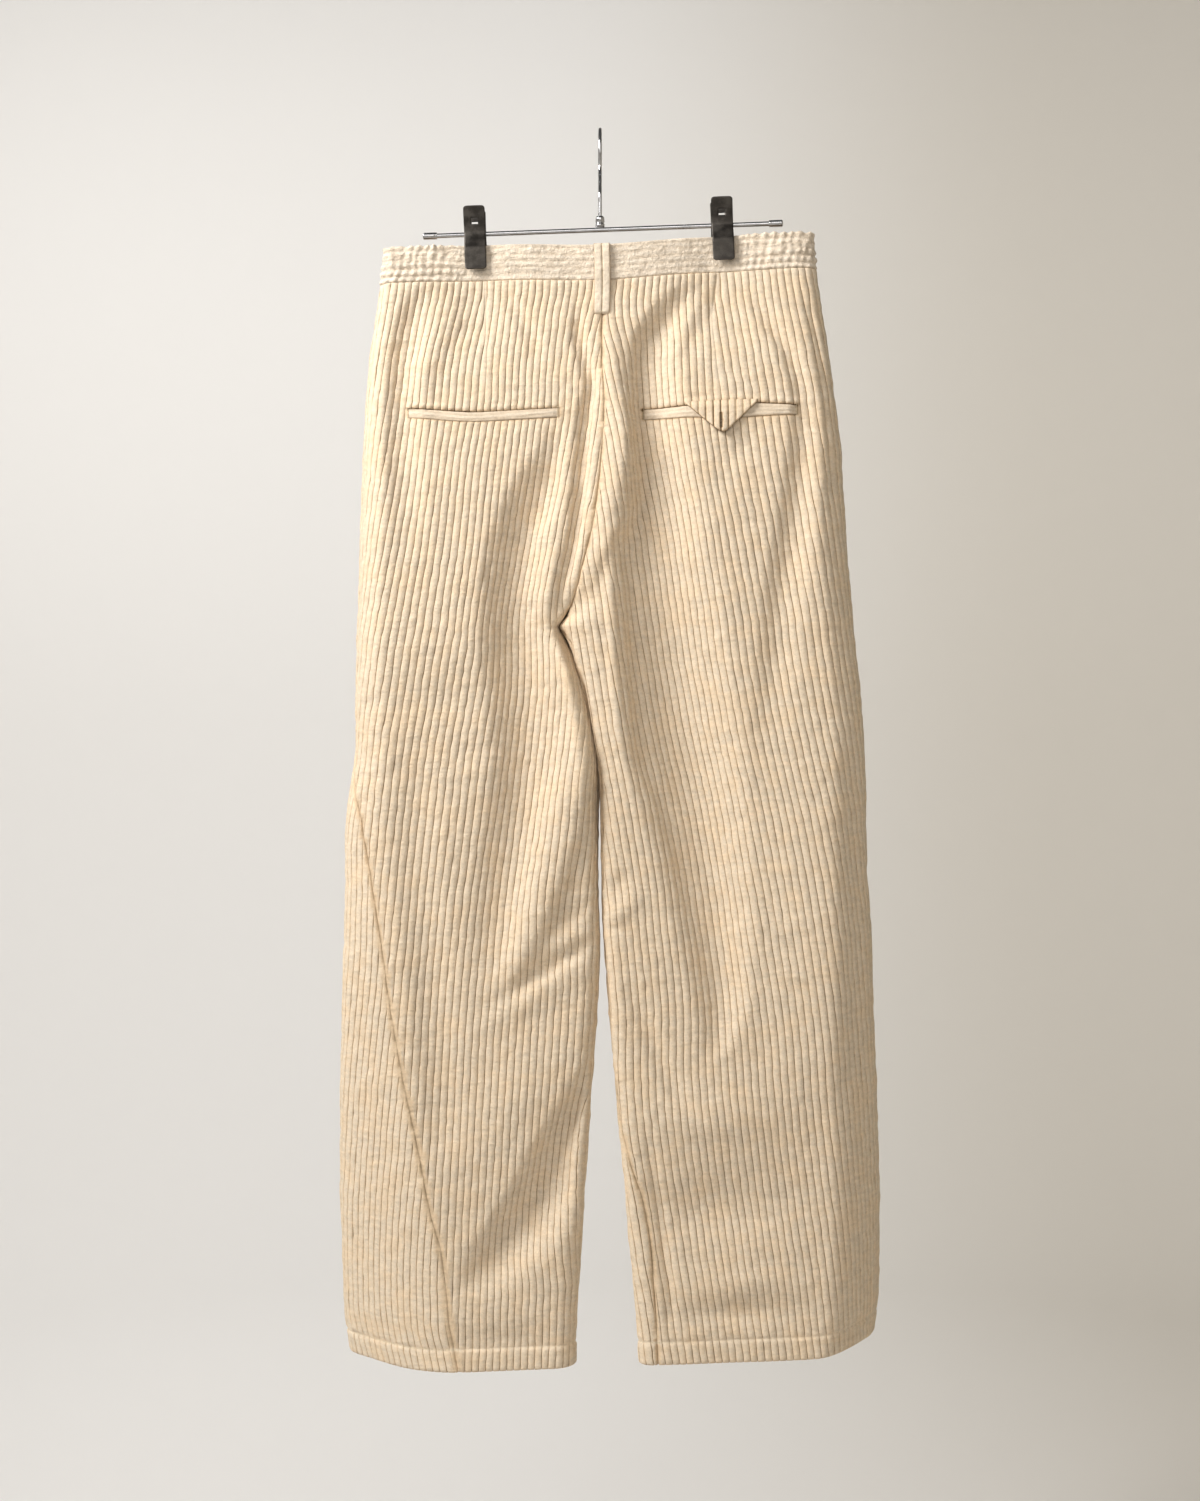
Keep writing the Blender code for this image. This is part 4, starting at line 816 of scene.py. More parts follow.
def make_piece(name: str, points: Array, faces: Faces, finish: "Finish",
               wale: Array | None = None, uv: Array | None = None) -> Piece:
    """A mesh object on the garment's body, its faces pointing out and its loose points left out.

    Args:
        name: the piece's name.
        points: its points in metres.
        faces: its faces.
        finish: what it is made of.
        wale: the painted wale shade at each point, from 0 for the shaded groove colour to 1 for the lit
            crest colour.
        uv: places on the flat cloth, in metres.

    Returns:
        The linked object.
    """
    triangles, quads = faces.arrays()
    used = np.zeros(len(points), dtype=bool)
    used[triangles] = True
    used[quads] = True
    renumber = np.cumsum(used) - 1
    triangles, quads, points = renumber[triangles], renumber[quads], points[used]
    if signed_volume(points, triangles, quads) < 0:
        triangles, quads = triangles[:, ::-1], quads[:, ::-1]
    corners = np.concatenate([triangles.ravel(), quads.ravel()])
    starts = np.concatenate([3 * np.arange(len(triangles)),
                             3 * len(triangles) + 4 * np.arange(len(quads))])
    mesh = bpy.data.meshes.new(name)
    mesh.vertices.add(len(points))
    mesh.vertices.foreach_set("co", points.astype(np.float32).ravel())
    mesh.loops.add(len(corners))
    mesh.loops.foreach_set("vertex_index", corners.astype(np.int32))
    mesh.polygons.add(len(starts))
    mesh.polygons.foreach_set("loop_start", starts.astype(np.int32))
    mesh.update(calc_edges=True)
    mesh.validate()
    mesh.shade_smooth()
    if wale is not None:
        layer = mesh.attributes.new("wale", "FLOAT", "POINT")
        layer.data.foreach_set("value", np.ravel(wale)[used].astype(np.float32))
    if uv is not None:
        layer = mesh.uv_layers.new(name="cloth")
        flat = uv.reshape(-1, 2)[used]
        layer.data.foreach_set("uv", flat[corners].astype(np.float32).ravel())
    mesh.materials.append(finish.material())
    piece = bpy.data.objects.new(name, mesh)
    bpy.context.scene.collection.objects.link(piece)
    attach(piece, "root")
    LOG.info("%s: %d triangles", name, len(triangles) + 2 * len(quads))
    return piece


def stand_for(piece: Piece, solid: str) -> None:
    """Hide the solid of the body that a piece stands for."""
    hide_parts(solid)


def shell_faces(rows: int, columns: int, keep: Array | None = None) -> Faces:
    """Faces of a wall between two grids of points: both grids and a rim round what is kept.

    The inner grid's points follow the outer grid's. An edge that only one kept cell has is on the
    rim, and a quad joins it to the same edge of the inner grid.

    Args:
        rows: rows of points in each grid.
        columns: columns of points in each grid.
        keep: which cells are there, all of them if left out.

    Returns:
        The faces.
    """
    place = np.arange(rows * columns).reshape(rows, columns)
    cells = np.stack([place[:-1, :-1], place[:-1, 1:], place[1:, 1:], place[1:, :-1]], axis=-1)
    cells = cells.reshape(-1, 4) if keep is None else cells[keep]
    total = rows * columns
    first, second = cells, np.roll(cells, -1, axis=1)
    forward = (first * total + second).ravel()
    backward = (second * total + first).ravel()
    rim = ~np.isin(forward, backward)
    a, b = first.ravel()[rim], second.ravel()[rim]
    faces = Faces()
    faces.add(cells)
    faces.add(cells[:, ::-1] + total)
    faces.add(np.stack([b, a, a + total, b + total], axis=1))
    return faces


def tube_faces(rings: int, sides: int) -> Faces:
    """Faces of a closed tube whose first and last rings are drawn in to a point.

    Args:
        rings: rings of points.
        sides: points in each ring.

    Returns:
        The faces: quads between rings, and a fan over each end ring to its first point.
    """
    place = np.arange(rings * sides).reshape(rings, sides)
    ahead = np.roll(place, -1, axis=1)
    faces = Faces()
    faces.add(np.stack([place[:-1], ahead[:-1], ahead[1:], place[1:]], axis=-1).reshape(-1, 4))
    inner = np.arange(1, sides - 1)
    first, last = place[0], place[-1]
    faces.add(np.stack([first[inner * 0], first[inner + 1], first[inner]], axis=1))
    faces.add(np.stack([last[inner * 0], last[inner], last[inner + 1]], axis=1))
    return faces


def tube_points(path: Array, radius: Array, sides: int, side_way: Array) -> Array:
    """Rings of points round a path: a circle of the local radius across the path's direction.

    Args:
        path: points of the middle line.
        radius: radius at each of them.
        sides: points in each ring.
        side_way: a direction that lies across the path all along it.

    Returns:
        Points, ring by ring.
    """
    along = np.gradient(path, axis=0)
    along /= np.linalg.norm(along, axis=1, keepdims=True)
    across = np.cross(along, side_way)
    across /= np.linalg.norm(across, axis=1, keepdims=True)
    other = np.cross(along, across)
    angle = np.linspace(0, 2 * np.pi, sides, endpoint=False)
    ring = (np.cos(angle)[None, :, None] * across[:, None]
            + np.sin(angle)[None, :, None] * other[:, None])
    return (path[:, None] + ring * radius[:, None, None]).reshape(-1, 3)


def turned_piece(name: str, profile: Array, start: Array, way: Array, finish: "Finish",
                 sides: int = 40) -> Piece:
    """A piece turned about an axis. Its profile runs from the axis out and back to the axis.

    Args:
        name: the piece's name.
        profile: rows of (distance along the axis, radius) in mm.
        start: where the axis starts, in mm.
        way: the axis as a unit vector.
        finish: what it is made of.
        sides: points round the axis.

    Returns:
        The object.
    """
    helper = np.array([0.0, 1.0, 0.0]) if abs(way[1]) < 0.9 else np.array([1.0, 0.0, 0.0])
    across = np.cross(way, helper)
    across /= np.linalg.norm(across)
    other = np.cross(way, across)
    angle = np.linspace(0, 2 * np.pi, sides, endpoint=False)
    ring = np.cos(angle)[:, None] * across + np.sin(angle)[:, None] * other
    middle = start + profile[:, :1] * way
    points = middle[:, None] + ring[None] * profile[:, 1][:, None, None]
    return make_piece(name, points.reshape(-1, 3) * MM, tube_faces(len(profile), sides), finish)


def stitch_mesh(starts: Array, ends: Array, outward: Array, radius: float) -> tuple[Array, Faces]:
    """Short threads, each a spindle of five rings, wide in the middle and drawn in at both ends.

    The middle ring is raised along the outward direction, so a thread bows over the cloth and its
    ends sink in.

    Args:
        starts: where each stitch starts, in metres.
        ends: where each ends.
        outward: unit vectors out of the cloth.
        radius: radius of the thread in metres.

    Returns:
        The points of all threads and their faces.
    """
    along = ends - starts
    along /= np.linalg.norm(along, axis=1, keepdims=True)
    across = np.cross(along, outward)
    across /= np.linalg.norm(across, axis=1, keepdims=True)
    shares = np.array([0.0, 0.12, 0.5, 0.88, 1.0])
    widths = np.array([0.05, 0.8, 1.0, 0.8, 0.05])
    lifts = np.array([-1.0, 0.1, 0.7, 0.1, -1.0])
    sides = 6
    angle = np.linspace(0, 2 * np.pi, sides, endpoint=False)
    middle = (starts[:, None] + (ends - starts)[:, None] * shares[:, None]
              + outward[:, None] * lifts[:, None] * radius)
    ring = np.cos(angle)[:, None] * across[:, None] + np.sin(angle)[:, None] * outward[:, None]
    points = middle[:, :, None] + ring[:, None] * (radius * widths)[:, None, None]
    triangles, quads = tube_faces(len(shares), sides).arrays()
    shift = len(shares) * sides * np.arange(len(starts))[:, None, None]
    faces = Faces()
    faces.add((triangles[None] + shift).reshape(-1, 3))
    faces.add((quads[None] + shift).reshape(-1, 4))
    return points.reshape(-1, 3), faces


def stitch_row(path: Array, outward: Array, pitch: float, share: float) -> tuple[Array, ...]:
    """Cut a line on the cloth into stitches of even pitch.

    Args:
        path: points of the line in metres.
        outward: unit vectors out of the cloth there.
        pitch: from one stitch to the next, in mm.
        share: how much of the pitch shows as thread.

    Returns:
        Starts, ends and outward directions of the stitches.
    """
    steps = np.linalg.norm(np.diff(path, axis=0), axis=1)
    walked = np.concatenate([[0], np.cumsum(steps)])
    count = max(int(walked[-1] / (pitch * MM)), 1)
    edge = np.linspace(0, walked[-1], count + 1)[:-1]
    length = walked[-1] / count

    def read(values: Array, place: Array) -> Array:
        """Values along the line at places on it."""
        return np.stack([np.interp(place, walked, values[:, axis]) for axis in range(3)], axis=1)

    middle = read(outward, edge + length / 2)
    middle /= np.linalg.norm(middle, axis=1, keepdims=True)
    return (read(path, edge + length * (1 - share) / 2), read(path, edge + length * (1 + share) / 2),
            middle)


@dataclass
class Sewing:
    """All the stitches of one thread, gathered row by row and made as one piece."""

    name: str
    radius: float = 0.34
    rows: list[tuple[Array, ...]] = field(default_factory=list)

    def add(self, path: Array, outward: Array, pitch: float, share: float = 0.78) -> None:
        """Sew along a line. The arguments are stitch_row's."""
        self.rows.append(stitch_row(path, outward, pitch, share))

    def along(self, face: Face, x: Array, drop: Array, out: float, pitch: float,
              share: float = 0.78) -> None:
        """Sew along a line that stands off a face by out, a stitch each pitch, both in mm."""
        path = on_face(face, x, drop, out + 0 * x)
        self.add(path, np.tile([0.0, float(face.value), 0.0], (len(path), 1)), pitch, share)

    def build(self, finish: "Finish") -> Piece:
        """Make the stitches one piece of a thread.

        Args:
            finish: the thread's finish.

        Returns:
            The piece.
        """
        starts, ends, outward = (np.concatenate(part) for part in zip(*self.rows))
        points, faces = stitch_mesh(starts, ends, outward, self.radius * MM)
        return make_piece(self.name, points, faces, finish)


# ---------------- finishes
WHITE = (1.0, 1.0, 1.0, 1.0)
PILE_RELIEF = 0.8 * MM
THREAD_RELIEF = 0.2 * MM
SHEEN_TINT = (1.0, 0.88, 0.68, 1.0)


class Wiring:
    """Adds nodes to one shader tree. What goes into a node is a number, a colour or a socket."""

    def __init__(self, tree: Tree) -> None:
        """Keep the tree."""
        self.tree = tree

    def feed(self, node: Node, inputs: dict) -> None:
        """Set or link a node's inputs.

        Args:
            node: the node.
            inputs: input name or number to a value, or to the socket that it is linked to.
        """
        for key, value in inputs.items():
            if isinstance(value, Socket):
                self.tree.links.new(value, node.inputs[key])
            else:
                node.inputs[key].default_value = value

    def add(self, kind: str, inputs: dict | None = None, **settings: object) -> Node:
        """A node with its settings made and its inputs fed.

        Args:
            kind: its type without the word ShaderNode.
            inputs: what feed takes.
            settings: its own properties.

        Returns:
            The node.
        """
        made = self.tree.nodes.new("ShaderNode" + kind)
        for key, value in settings.items():
            setattr(made, key, value)
        self.feed(made, inputs or {})
        return made

    def place(self) -> Socket:
        """Object coordinates, in metres."""
        return self.add("TexCoord").outputs["Object"]

    def noise(self, vector: Socket, scale: object, detail: float = 2.0, rough: float = 0.5) -> Socket:
        """A noise's factor at so many bumps per metre, with its octaves and their weight."""
        return self.add("TexNoise", {"Vector": vector, "Scale": scale, "Detail": detail,
                                     "Roughness": rough}).outputs[0]

    def spread(self, value: Socket, low: float, high: float, to_low: float = 0.0,
               to_high: float = 1.0, smooth: bool = False) -> Socket:
        """Map a value from one range to another, held at the ends.

        Args:
            value: the socket to map.
            low: value that becomes to_low.
            high: value that becomes to_high.
            to_low: result at low.
            to_high: result at high.
            smooth: whether it eases in and out.

        Returns:
            The result's socket.
        """
        return self.add("MapRange", {"Value": value, "From Min": low, "From Max": high,
                                     "To Min": to_low, "To Max": to_high},
                        interpolation_type="SMOOTHSTEP" if smooth else "LINEAR").outputs["Result"]

    def blend(self, share: object, first: object, second: object, way: str = "MIX") -> Socket:
        """Mix two colours, with a share of the second."""
        return self.add("Mix", {0: share, 6: first, 7: second}, data_type="RGBA",
                        blend_type=way).outputs[2]

    def plus(self, first: object, second: object) -> Socket:
        """Two values added."""
        return self.add("Math", {0: first, 1: second}, operation="ADD").outputs[0]

    def times(self, first: object, second: object) -> Socket:
        """Two values multiplied."""
        return self.add("Math", {0: first, 1: second}, operation="MULTIPLY").outputs[0]


def new_group(name: str, inputs: dict[str, tuple[str, object]],
              outputs: dict[str, str]) -> tuple[Tree, Node, Node]:
    """An empty shader group with its sockets.

    Args:
        name: the group's name.
        inputs: input name to socket kind and starting value.
        outputs: output name to socket kind.

    Returns:
        The group, its input node and its output node.
    """
    group = bpy.data.node_groups.new(name, "ShaderNodeTree")
    for title, (kind, value) in inputs.items():
        socket = group.interface.new_socket(title, in_out="INPUT", socket_type="NodeSocket" + kind)
        socket.default_value = value
    for title, kind in outputs.items():
        group.interface.new_socket(title, in_out="OUTPUT", socket_type="NodeSocket" + kind)
    return group, group.nodes.new("NodeGroupInput"), group.nodes.new("NodeGroupOutput")


def pile_group() -> Tree:
    """Brushed cotton pile: colour by depth in the wales, mottled, with tufts and streaks.

    Colour goes from a shaded groove colour through a shaded flank colour to a lit crest colour with
    the height of the pile, which is painted shade of the wales, and is multiplied by a soft mottle,
    a fine speckle and level breaks in the pile. Height is the sum of fine tufts, streaks that run
    down the cloth and the breaks across it.

    Returns:
        The shared node group.
    """
    name = "brushed_pile"
    if name in bpy.data.node_groups:
        return bpy.data.node_groups[name]
    tree, given, result = new_group(
        name, {"Crest": ("Color", WHITE), "Flank": ("Color", WHITE), "Groove": ("Color", WHITE),
               "Wale": ("Float", 0.5), "Mottle": ("Float", 0.1)}, {"Color": "Color", "Height": "Float"})
    wires = Wiring(tree)
    place = wires.place()
    along = wires.add("Mapping", {"Vector": place, "Scale": (1, 1, 0.22)}).outputs[0]
    level = wires.add("Mapping", {"Vector": place, "Scale": (0.3, 0.3, 1)}).outputs[0]
    tufts = wires.noise(place, 620, 3, 0.62)
    streaks = wires.noise(along, 1300, 2, 0.6)
    breaks = wires.noise(level, 290)
    cloud = wires.noise(place, 46, 3, 0.55)
    blotch = wires.noise(place, 210)
    wale = wires.plus(given.outputs["Wale"], wires.spread(blotch, 0.3, 0.7, -0.07, 0.07))
    # Painted shade of the wales: the shaded groove colour, then the shaded flank colour, then the lit
    # crest colour as the pile rises.
    flank = wires.blend(wires.spread(wale, 0.2, 0.8, smooth=True), given.outputs["Groove"],
                        given.outputs["Flank"])
    crest = wires.blend(wires.spread(wale, 0.7, 1.0, smooth=True), flank, given.outputs["Crest"])
    crest = wires.blend(wires.spread(cloud, 0.42, 0.66, 0, 0.55, True), crest, flank)
    amount = given.outputs["Mottle"]
    grey = wires.plus(1.0, wires.times(amount, wires.spread(cloud, 0.3, 0.7, -0.7, 0.7)))
    speck = wires.times(amount, wires.spread(tufts, 0.28, 0.72, -1.0, 1.0))
    bands = wires.times(amount, wires.spread(breaks, 0.3, 0.7, -0.8, 0.8))
    shade = wires.plus(wires.plus(grey, speck), bands)
    grey_colour = wires.add("CombineColor", {0: shade, 1: shade, 2: shade}).outputs[0]
    colour = wires.blend(1.0, crest, grey_colour, "MULTIPLY")
    height = wires.plus(wires.times(tufts, 0.8),
                        wires.plus(wires.times(streaks, 0.25), wires.times(breaks, 1.3)))
    wires.feed(result, {"Color": colour, "Height": height})
    return tree


def wear_group() -> Tree:
    """Handled metal or horn: a colour clouded by a second one, and roughness that follows.

    The cloud is a broad noise with a fine one over it; roughness rises where it is strong.

    Returns:
        The shared node group.
    """
    name = "handled_surface"
    if name in bpy.data.node_groups:
        return bpy.data.node_groups[name]
    tree, given, result = new_group(
        name, {"Base": ("Color", WHITE), "Cloud": ("Color", WHITE), "Scale": ("Float", 60.0),
               "Smooth": ("Float", 0.1), "Rough": ("Float", 0.3)},
        {"Color": "Color", "Roughness": "Float"})
    wires = Wiring(tree)
    place = wires.place()
    broad = wires.noise(place, given.outputs["Scale"], 4.0)
    fine = wires.noise(place, 900)
    both = wires.plus(wires.times(broad, 0.8), wires.times(fine, 0.2))
    share = wires.spread(both, 0.38, 0.66, smooth=True)
    colour = wires.blend(share, given.outputs["Base"], given.outputs["Cloud"])
    span = wires.add("Math", {0: given.outputs["Rough"], 1: given.outputs["Smooth"]},
                     operation="SUBTRACT").outputs[0]
    rough = wires.plus(given.outputs["Smooth"], wires.times(share, span))
    wires.feed(result, {"Color": colour, "Roughness": rough})
    return tree


class Finish:
    """What a piece is made of: a named material, built once."""

    name: str

    def material(self) -> bpy.types.Material:
        """Build the material at its first use.

        Returns:
            The material.
        """
        if self.name in bpy.data.materials:
            return bpy.data.materials[self.name]
        made = bpy.data.materials.new(self.name)
        made.use_nodes = True
        self.dress(Wiring(made.node_tree), made.node_tree.nodes["Principled BSDF"])
        return made

    def dress(self, wires: Wiring, shader: Node) -> None:
        """Wire the material's nodes into its shader."""
        raise NotImplementedError


@dataclass(frozen=True)
class Corduroy(Finish):
    """Cotton corduroy, or a cloth cut from it, with painted shade by depth in its wales."""

    name: str
    # The colours are painted shade by depth: crest is the lit colour, flank and groove are the shaded
    # colours of the wales' sides and grooves.
    crest: Colour
    flank: Colour
    groove: Colour
    mottle: float = 0.085
    bump: float = 0.85
    roughness: float = 0.92
    sheen: float = 0.1

    def dress(self, wires: Wiring, shader: Node) -> None:
        """Feed the pile group with the attribute that sets its painted wale shade, and bump its tufts.

        Args:
            wires: the material's tree.
            shader: its Principled BSDF.
        """
        wale = wires.add("Attribute", attribute_name="wale").outputs["Fac"]
        pile = wires.add("Group", node_tree=pile_group())
        wires.feed(pile, {"Crest": (*self.crest, 1), "Flank": (*self.flank, 1),
                          "Groove": (*self.groove, 1), "Mottle": self.mottle, "Wale": wale})
        raised = wires.add("Bump", {"Height": pile.outputs["Height"], "Strength": self.bump,
                                    "Distance": PILE_RELIEF})
        wires.feed(shader, {"Base Color": pile.outputs["Color"], "Normal": raised.outputs[0],
                            "Roughness": self.roughness, "Sheen Weight": self.sheen,
                            "Sheen Roughness": 0.45, "Sheen Tint": SHEEN_TINT,
                            "Specular IOR Level": 0.2})


@dataclass(frozen=True)
class Thread(Finish):
    """Sewing thread: a twist of fine ridges in one colour."""

    name: str
    colour: Colour

    def dress(self, wires: Wiring, shader: Node) -> None:
        """Darken and ridge the colour with a fine noise.

        Args:
            wires: the material's tree.
            shader: its Principled BSDF.
        """
        twist = wires.noise(wires.place(), 1800, 1)
        dark = tuple(0.82 * value for value in self.colour)
        colour = wires.blend(wires.spread(twist, 0.3, 0.7), (*self.colour, 1), (*dark, 1))
        raised = wires.add("Bump", {"Height": twist, "Strength": 0.4, "Distance": THREAD_RELIEF})
        wires.feed(shader, {"Base Color": colour, "Normal": raised.outputs[0], "Roughness": 0.7})


@dataclass(frozen=True)
class Handled(Finish):
    """Polished metal or horn, clouded by handling."""

    name: str
    base: Colour
    cloud: Colour
    metallic: float
    smooth: float
    rough: float
    scale: float = 60.0
    coat: float = 0.0

    def dress(self, wires: Wiring, shader: Node) -> None:
        """Feed colour and roughness from the handled-surface group.

        Args:
            wires: the material's tree.
            shader: its Principled BSDF.
        """
        wear = wires.add("Group", node_tree=wear_group())
        wires.feed(wear, {"Base": (*self.base, 1), "Cloud": (*self.cloud, 1), "Scale": self.scale,
                          "Smooth": self.smooth, "Rough": self.rough})
        wires.feed(shader, {"Base Color": wear.outputs["Color"], "Metallic": self.metallic,
                            "Roughness": wear.outputs["Roughness"], "Coat Weight": self.coat})


# Each corduroy's colours are painted shade by depth in the wales: the lit crest, the shaded flank and
# the shaded groove.
LEG_CORDUROY = Corduroy("leg_corduroy_painted_wale_shade", (0.83, 0.695, 0.53), (0.76, 0.585, 0.395), (0.20, 0.12, 0.055))
BAND_CORDUROY = Corduroy("band_corduroy", (0.90, 0.79, 0.655), (0.83, 0.71, 0.57),
                         (0.64, 0.52, 0.39), mottle=0.17, bump=1.6)
WELT_CORDUROY = Corduroy("welt_corduroy", (0.83, 0.71, 0.56), (0.75, 0.62, 0.47),
                         (0.50, 0.37, 0.24), mottle=0.1, bump=0.9)
LOOP_CORDUROY = Corduroy("loop_corduroy", (0.85, 0.735, 0.585), (0.77, 0.645, 0.50),
                         (0.42, 0.30, 0.18), mottle=0.1, bump=0.9)
CREAM_THREAD = Thread("cream_thread", (0.80, 0.68, 0.48))
HORN = Handled("horn_button_finish", (0.45, 0.32, 0.18), (0.25, 0.16, 0.08), 0.0, 0.25, 0.45,
               scale=180, coat=0.3)
CHROME = Handled("bright_chrome", (0.62, 0.62, 0.63), (0.5, 0.5, 0.51), 1.0, 0.10, 0.28)
DARK_CHROME = Handled("dark_chrome", (0.05, 0.045, 0.04), (0.10, 0.09, 0.08), 1.0, 0.36, 0.56, scale=90)


# ---------------- leg panels
@dataclass
class LegPanel:
    """One leg panel of corduroy, from the waist seam to the hem, with every wale raised."""

    side: Side
    face: Face
    across: tuple[float, ...]
    row_step: float
    name: str = field(init=False)
    node: str = field(init=False)
    girth: Girth = field(init=False)
    start: Array = field(init=False)
    end: Array = field(init=False)

    def __post_init__(self) -> None:
        """Name the panel after its solid, lay out its rows and find where each starts and ends."""
        self.node = f"{self.face.name.lower()}_{self.side.name.lower()}"
        self.name = f"corduroy_{self.node}"
        self.girth = Girth(self.side, self.row_drops())
        self.start, self.end = self.girth.span(self.face)

    def row_drops(self) -> Array:
        """Drops of the rows: their density is even, with more at the pocket, seam and hem.

        Returns:
            Rising drops from the waist seam to the hem.
        """
        drop = np.linspace(WAIST_SEAM_DROP + SEAM_GAP / 2, HEM_DROP, 4000)
        density = 1 / self.row_step + 0 * drop
        zones = [(WAIST_SEAM_DROP, 3, 0.8), (HEM_DROP, 2.5, 1.6), (HEM_DROP - HEM_DEPTH, 3, 0.8)]
        if self.face is Face.BACK:
            zones += [(POCKET_DROP, 14, 0.75)]
        for centre, reach, more in zones:
            density = density + more * hump(drop, centre, reach)
        walked = np.concatenate([[0], np.cumsum((density[1:] + density[:-1]) / 2 * np.diff(drop))])
        return np.interp(np.linspace(0, walked[-1], int(walked[-1]) + 1), walked, drop)

    def wale_number(self, distance: Array) -> Array:
        """Which wale lies at a distance round the rows, counted from the outer edge.

        Wales are even along the cloth, less their drift and the wales that a dart takes in, plus a
        small wobble.

        Args:
            distance: one row of distances for each row.

        Returns:
            Wale numbers, whole in the grooves.
        """
        drop = self.girth.drop[:, None]
        share = np.clip(np.abs(distance) / self.girth.back_end, 0, 1)
        table = (BACK_DRIFT if self.face is Face.BACK else FRONT_DRIFT)[self.side]
        columns = len(table[0]) - 1
        drift = sum(through(table, index + 1, drop)
                    * np.clip(1 - np.abs(share * (columns - 1) - index), 0, 1)
                    for index in range(columns))
        number = (distance + self.face.value * edge_bulge(self.side, drop) - drift) / WALE_PITCH
        if self.face is Face.BACK:
            tuck = BACK_TUCKS[self.side]
            place = self.girth.place_of(through(tuck, 1, drop))
            taken, width = through(tuck, 2, drop), through(tuck, 3, drop)
            passed = 0.5 + 0.5 * np.tanh(1.2 * (distance - place) / width)
            number = number + taken * (passed - 1)
        seed = 31 + self.side.value + 4 * self.face.value
        wobble = (0.05 * lattice_noise(distance / 40 + 60, drop / 34, seed)
                  + 0.055 * lattice_noise(distance / 7 + 60, drop / 7, seed + 9))
        return number + wobble

    def wale_places(self, numbers: Array) -> Array:
        """Distances at which the rows reach wale numbers, read back from a fine walk.

        Args:
            numbers: wale numbers, one a column.

        Returns:
            Distances, row by row.
        """
        beyond, samples = 12, 1100
        walk = (self.start - beyond
                + (self.end - self.start + 2 * beyond) * np.linspace(0, 1, samples))
        wanted = np.broadcast_to(numbers, (len(walk), len(numbers)))
        return interp_rows(wanted, self.wale_number(walk), walk)

    def relief(self, x: Array, drop: Array) -> tuple[Array, Array, Array]:
        """What sewing does to the cloth: how much the wales keep, the ground's height, and shade.

        Pocket slits sink and squash the cloth under the welt and wale ends swell above it; seams pinch
        it and the darts and the inseam's roll stand up.

        Args:
            x: x of the points.
            drop: their drops.

        Returns:
            The wales' share, the ground's height and the painted shade: above 0 a painted shadow, below
            0 painted light.
        """
        waist, hem = WAIST_SEAM_DROP, HEM_DROP - HEM_DEPTH
        on_hem = hump(drop, hem, 1.5)
        end = round_turn(1 - np.clip((drop - (HEM_DROP - 2.0)) / 2.0, 0, 1))
        keep = 0.75 + 0.25 * smoothstep(waist - 0.5, waist + 2.5, drop)
        keep = keep * (1 - 0.45 * on_hem) * (1 - 0.35 * end)
        ground = lumps(x, drop, self.face) * smoothstep(waist, waist + 20, drop)
        ground = ground - 0.2 * hump(drop, hem, 3.0)
        ground = ground + 0.7 * smoothstep(hem - 1, hem + 3, drop) - 1.7 * end
        # Painted light: lighter along the waist seam and the hem's stitch line, where shade falls.
        shade = -0.4 * hump(drop, waist, 2.5) - 0.5 * on_hem
        if self.face is Face.BACK:
            for dart in DARTS:
                line = through(dart, 1, drop)
                sewn = 1 - smoothstep(dart[-1][0] - 4, dart[-1][0], drop)
                keep = keep * (1 - 0.6 * sewn * hump(x, line, 1.5))
                ground = ground + 1.3 * sewn * hump(x, line, 1.6)
                # Painted light along the dart lines.
                shade = shade - 0.8 * sewn * hump(x, line, 1.8)
            if self.side is Side.LEFT:
                roll = through(INSEAM_ROLL, 2, drop) / INSEAM_ROLL_HEIGHT
                on_roll = roll * hump(x, through(INSEAM_ROLL, 1, drop), 5)
                keep = keep * (1 - 0.85 * on_roll)
                # Painted highlight on the inseam's roll.
                shade = shade - 0.7 * on_roll
            for table in (LEFT_POCKET, RIGHT_POCKET):
                slit, low = through(table, 1, x), through(table, 2, x)
                inside = (smoothstep(table[0][0] - 1.5, table[0][0] + 1.5, x)
                          * (1 - smoothstep(table[-1][0] - 1.5, table[-1][0] + 1.5, x)))
                under = smoothstep(-0.6, 0.6, drop - slit) * (1 - smoothstep(-0.8, 1.2, drop - low))
                keep = keep * (1 - 0.9 * inside * under)
                keep = keep * (1 + 0.45 * inside * hump(drop, slit - 2.4, 2.2))
                ground = ground - inside * (3.2 * hump(drop, slit + 0.7, 1.5) + 0.6 * under)
                # Painted shadow in the pocket's slit and under the welt's lower edge.
                shade = shade + inside * (1.6 * hump(drop, slit + 0.7, 1.5)
                                          + 0.25 * hump(drop, low + 0.9, 0.8))
        return keep, ground, shade

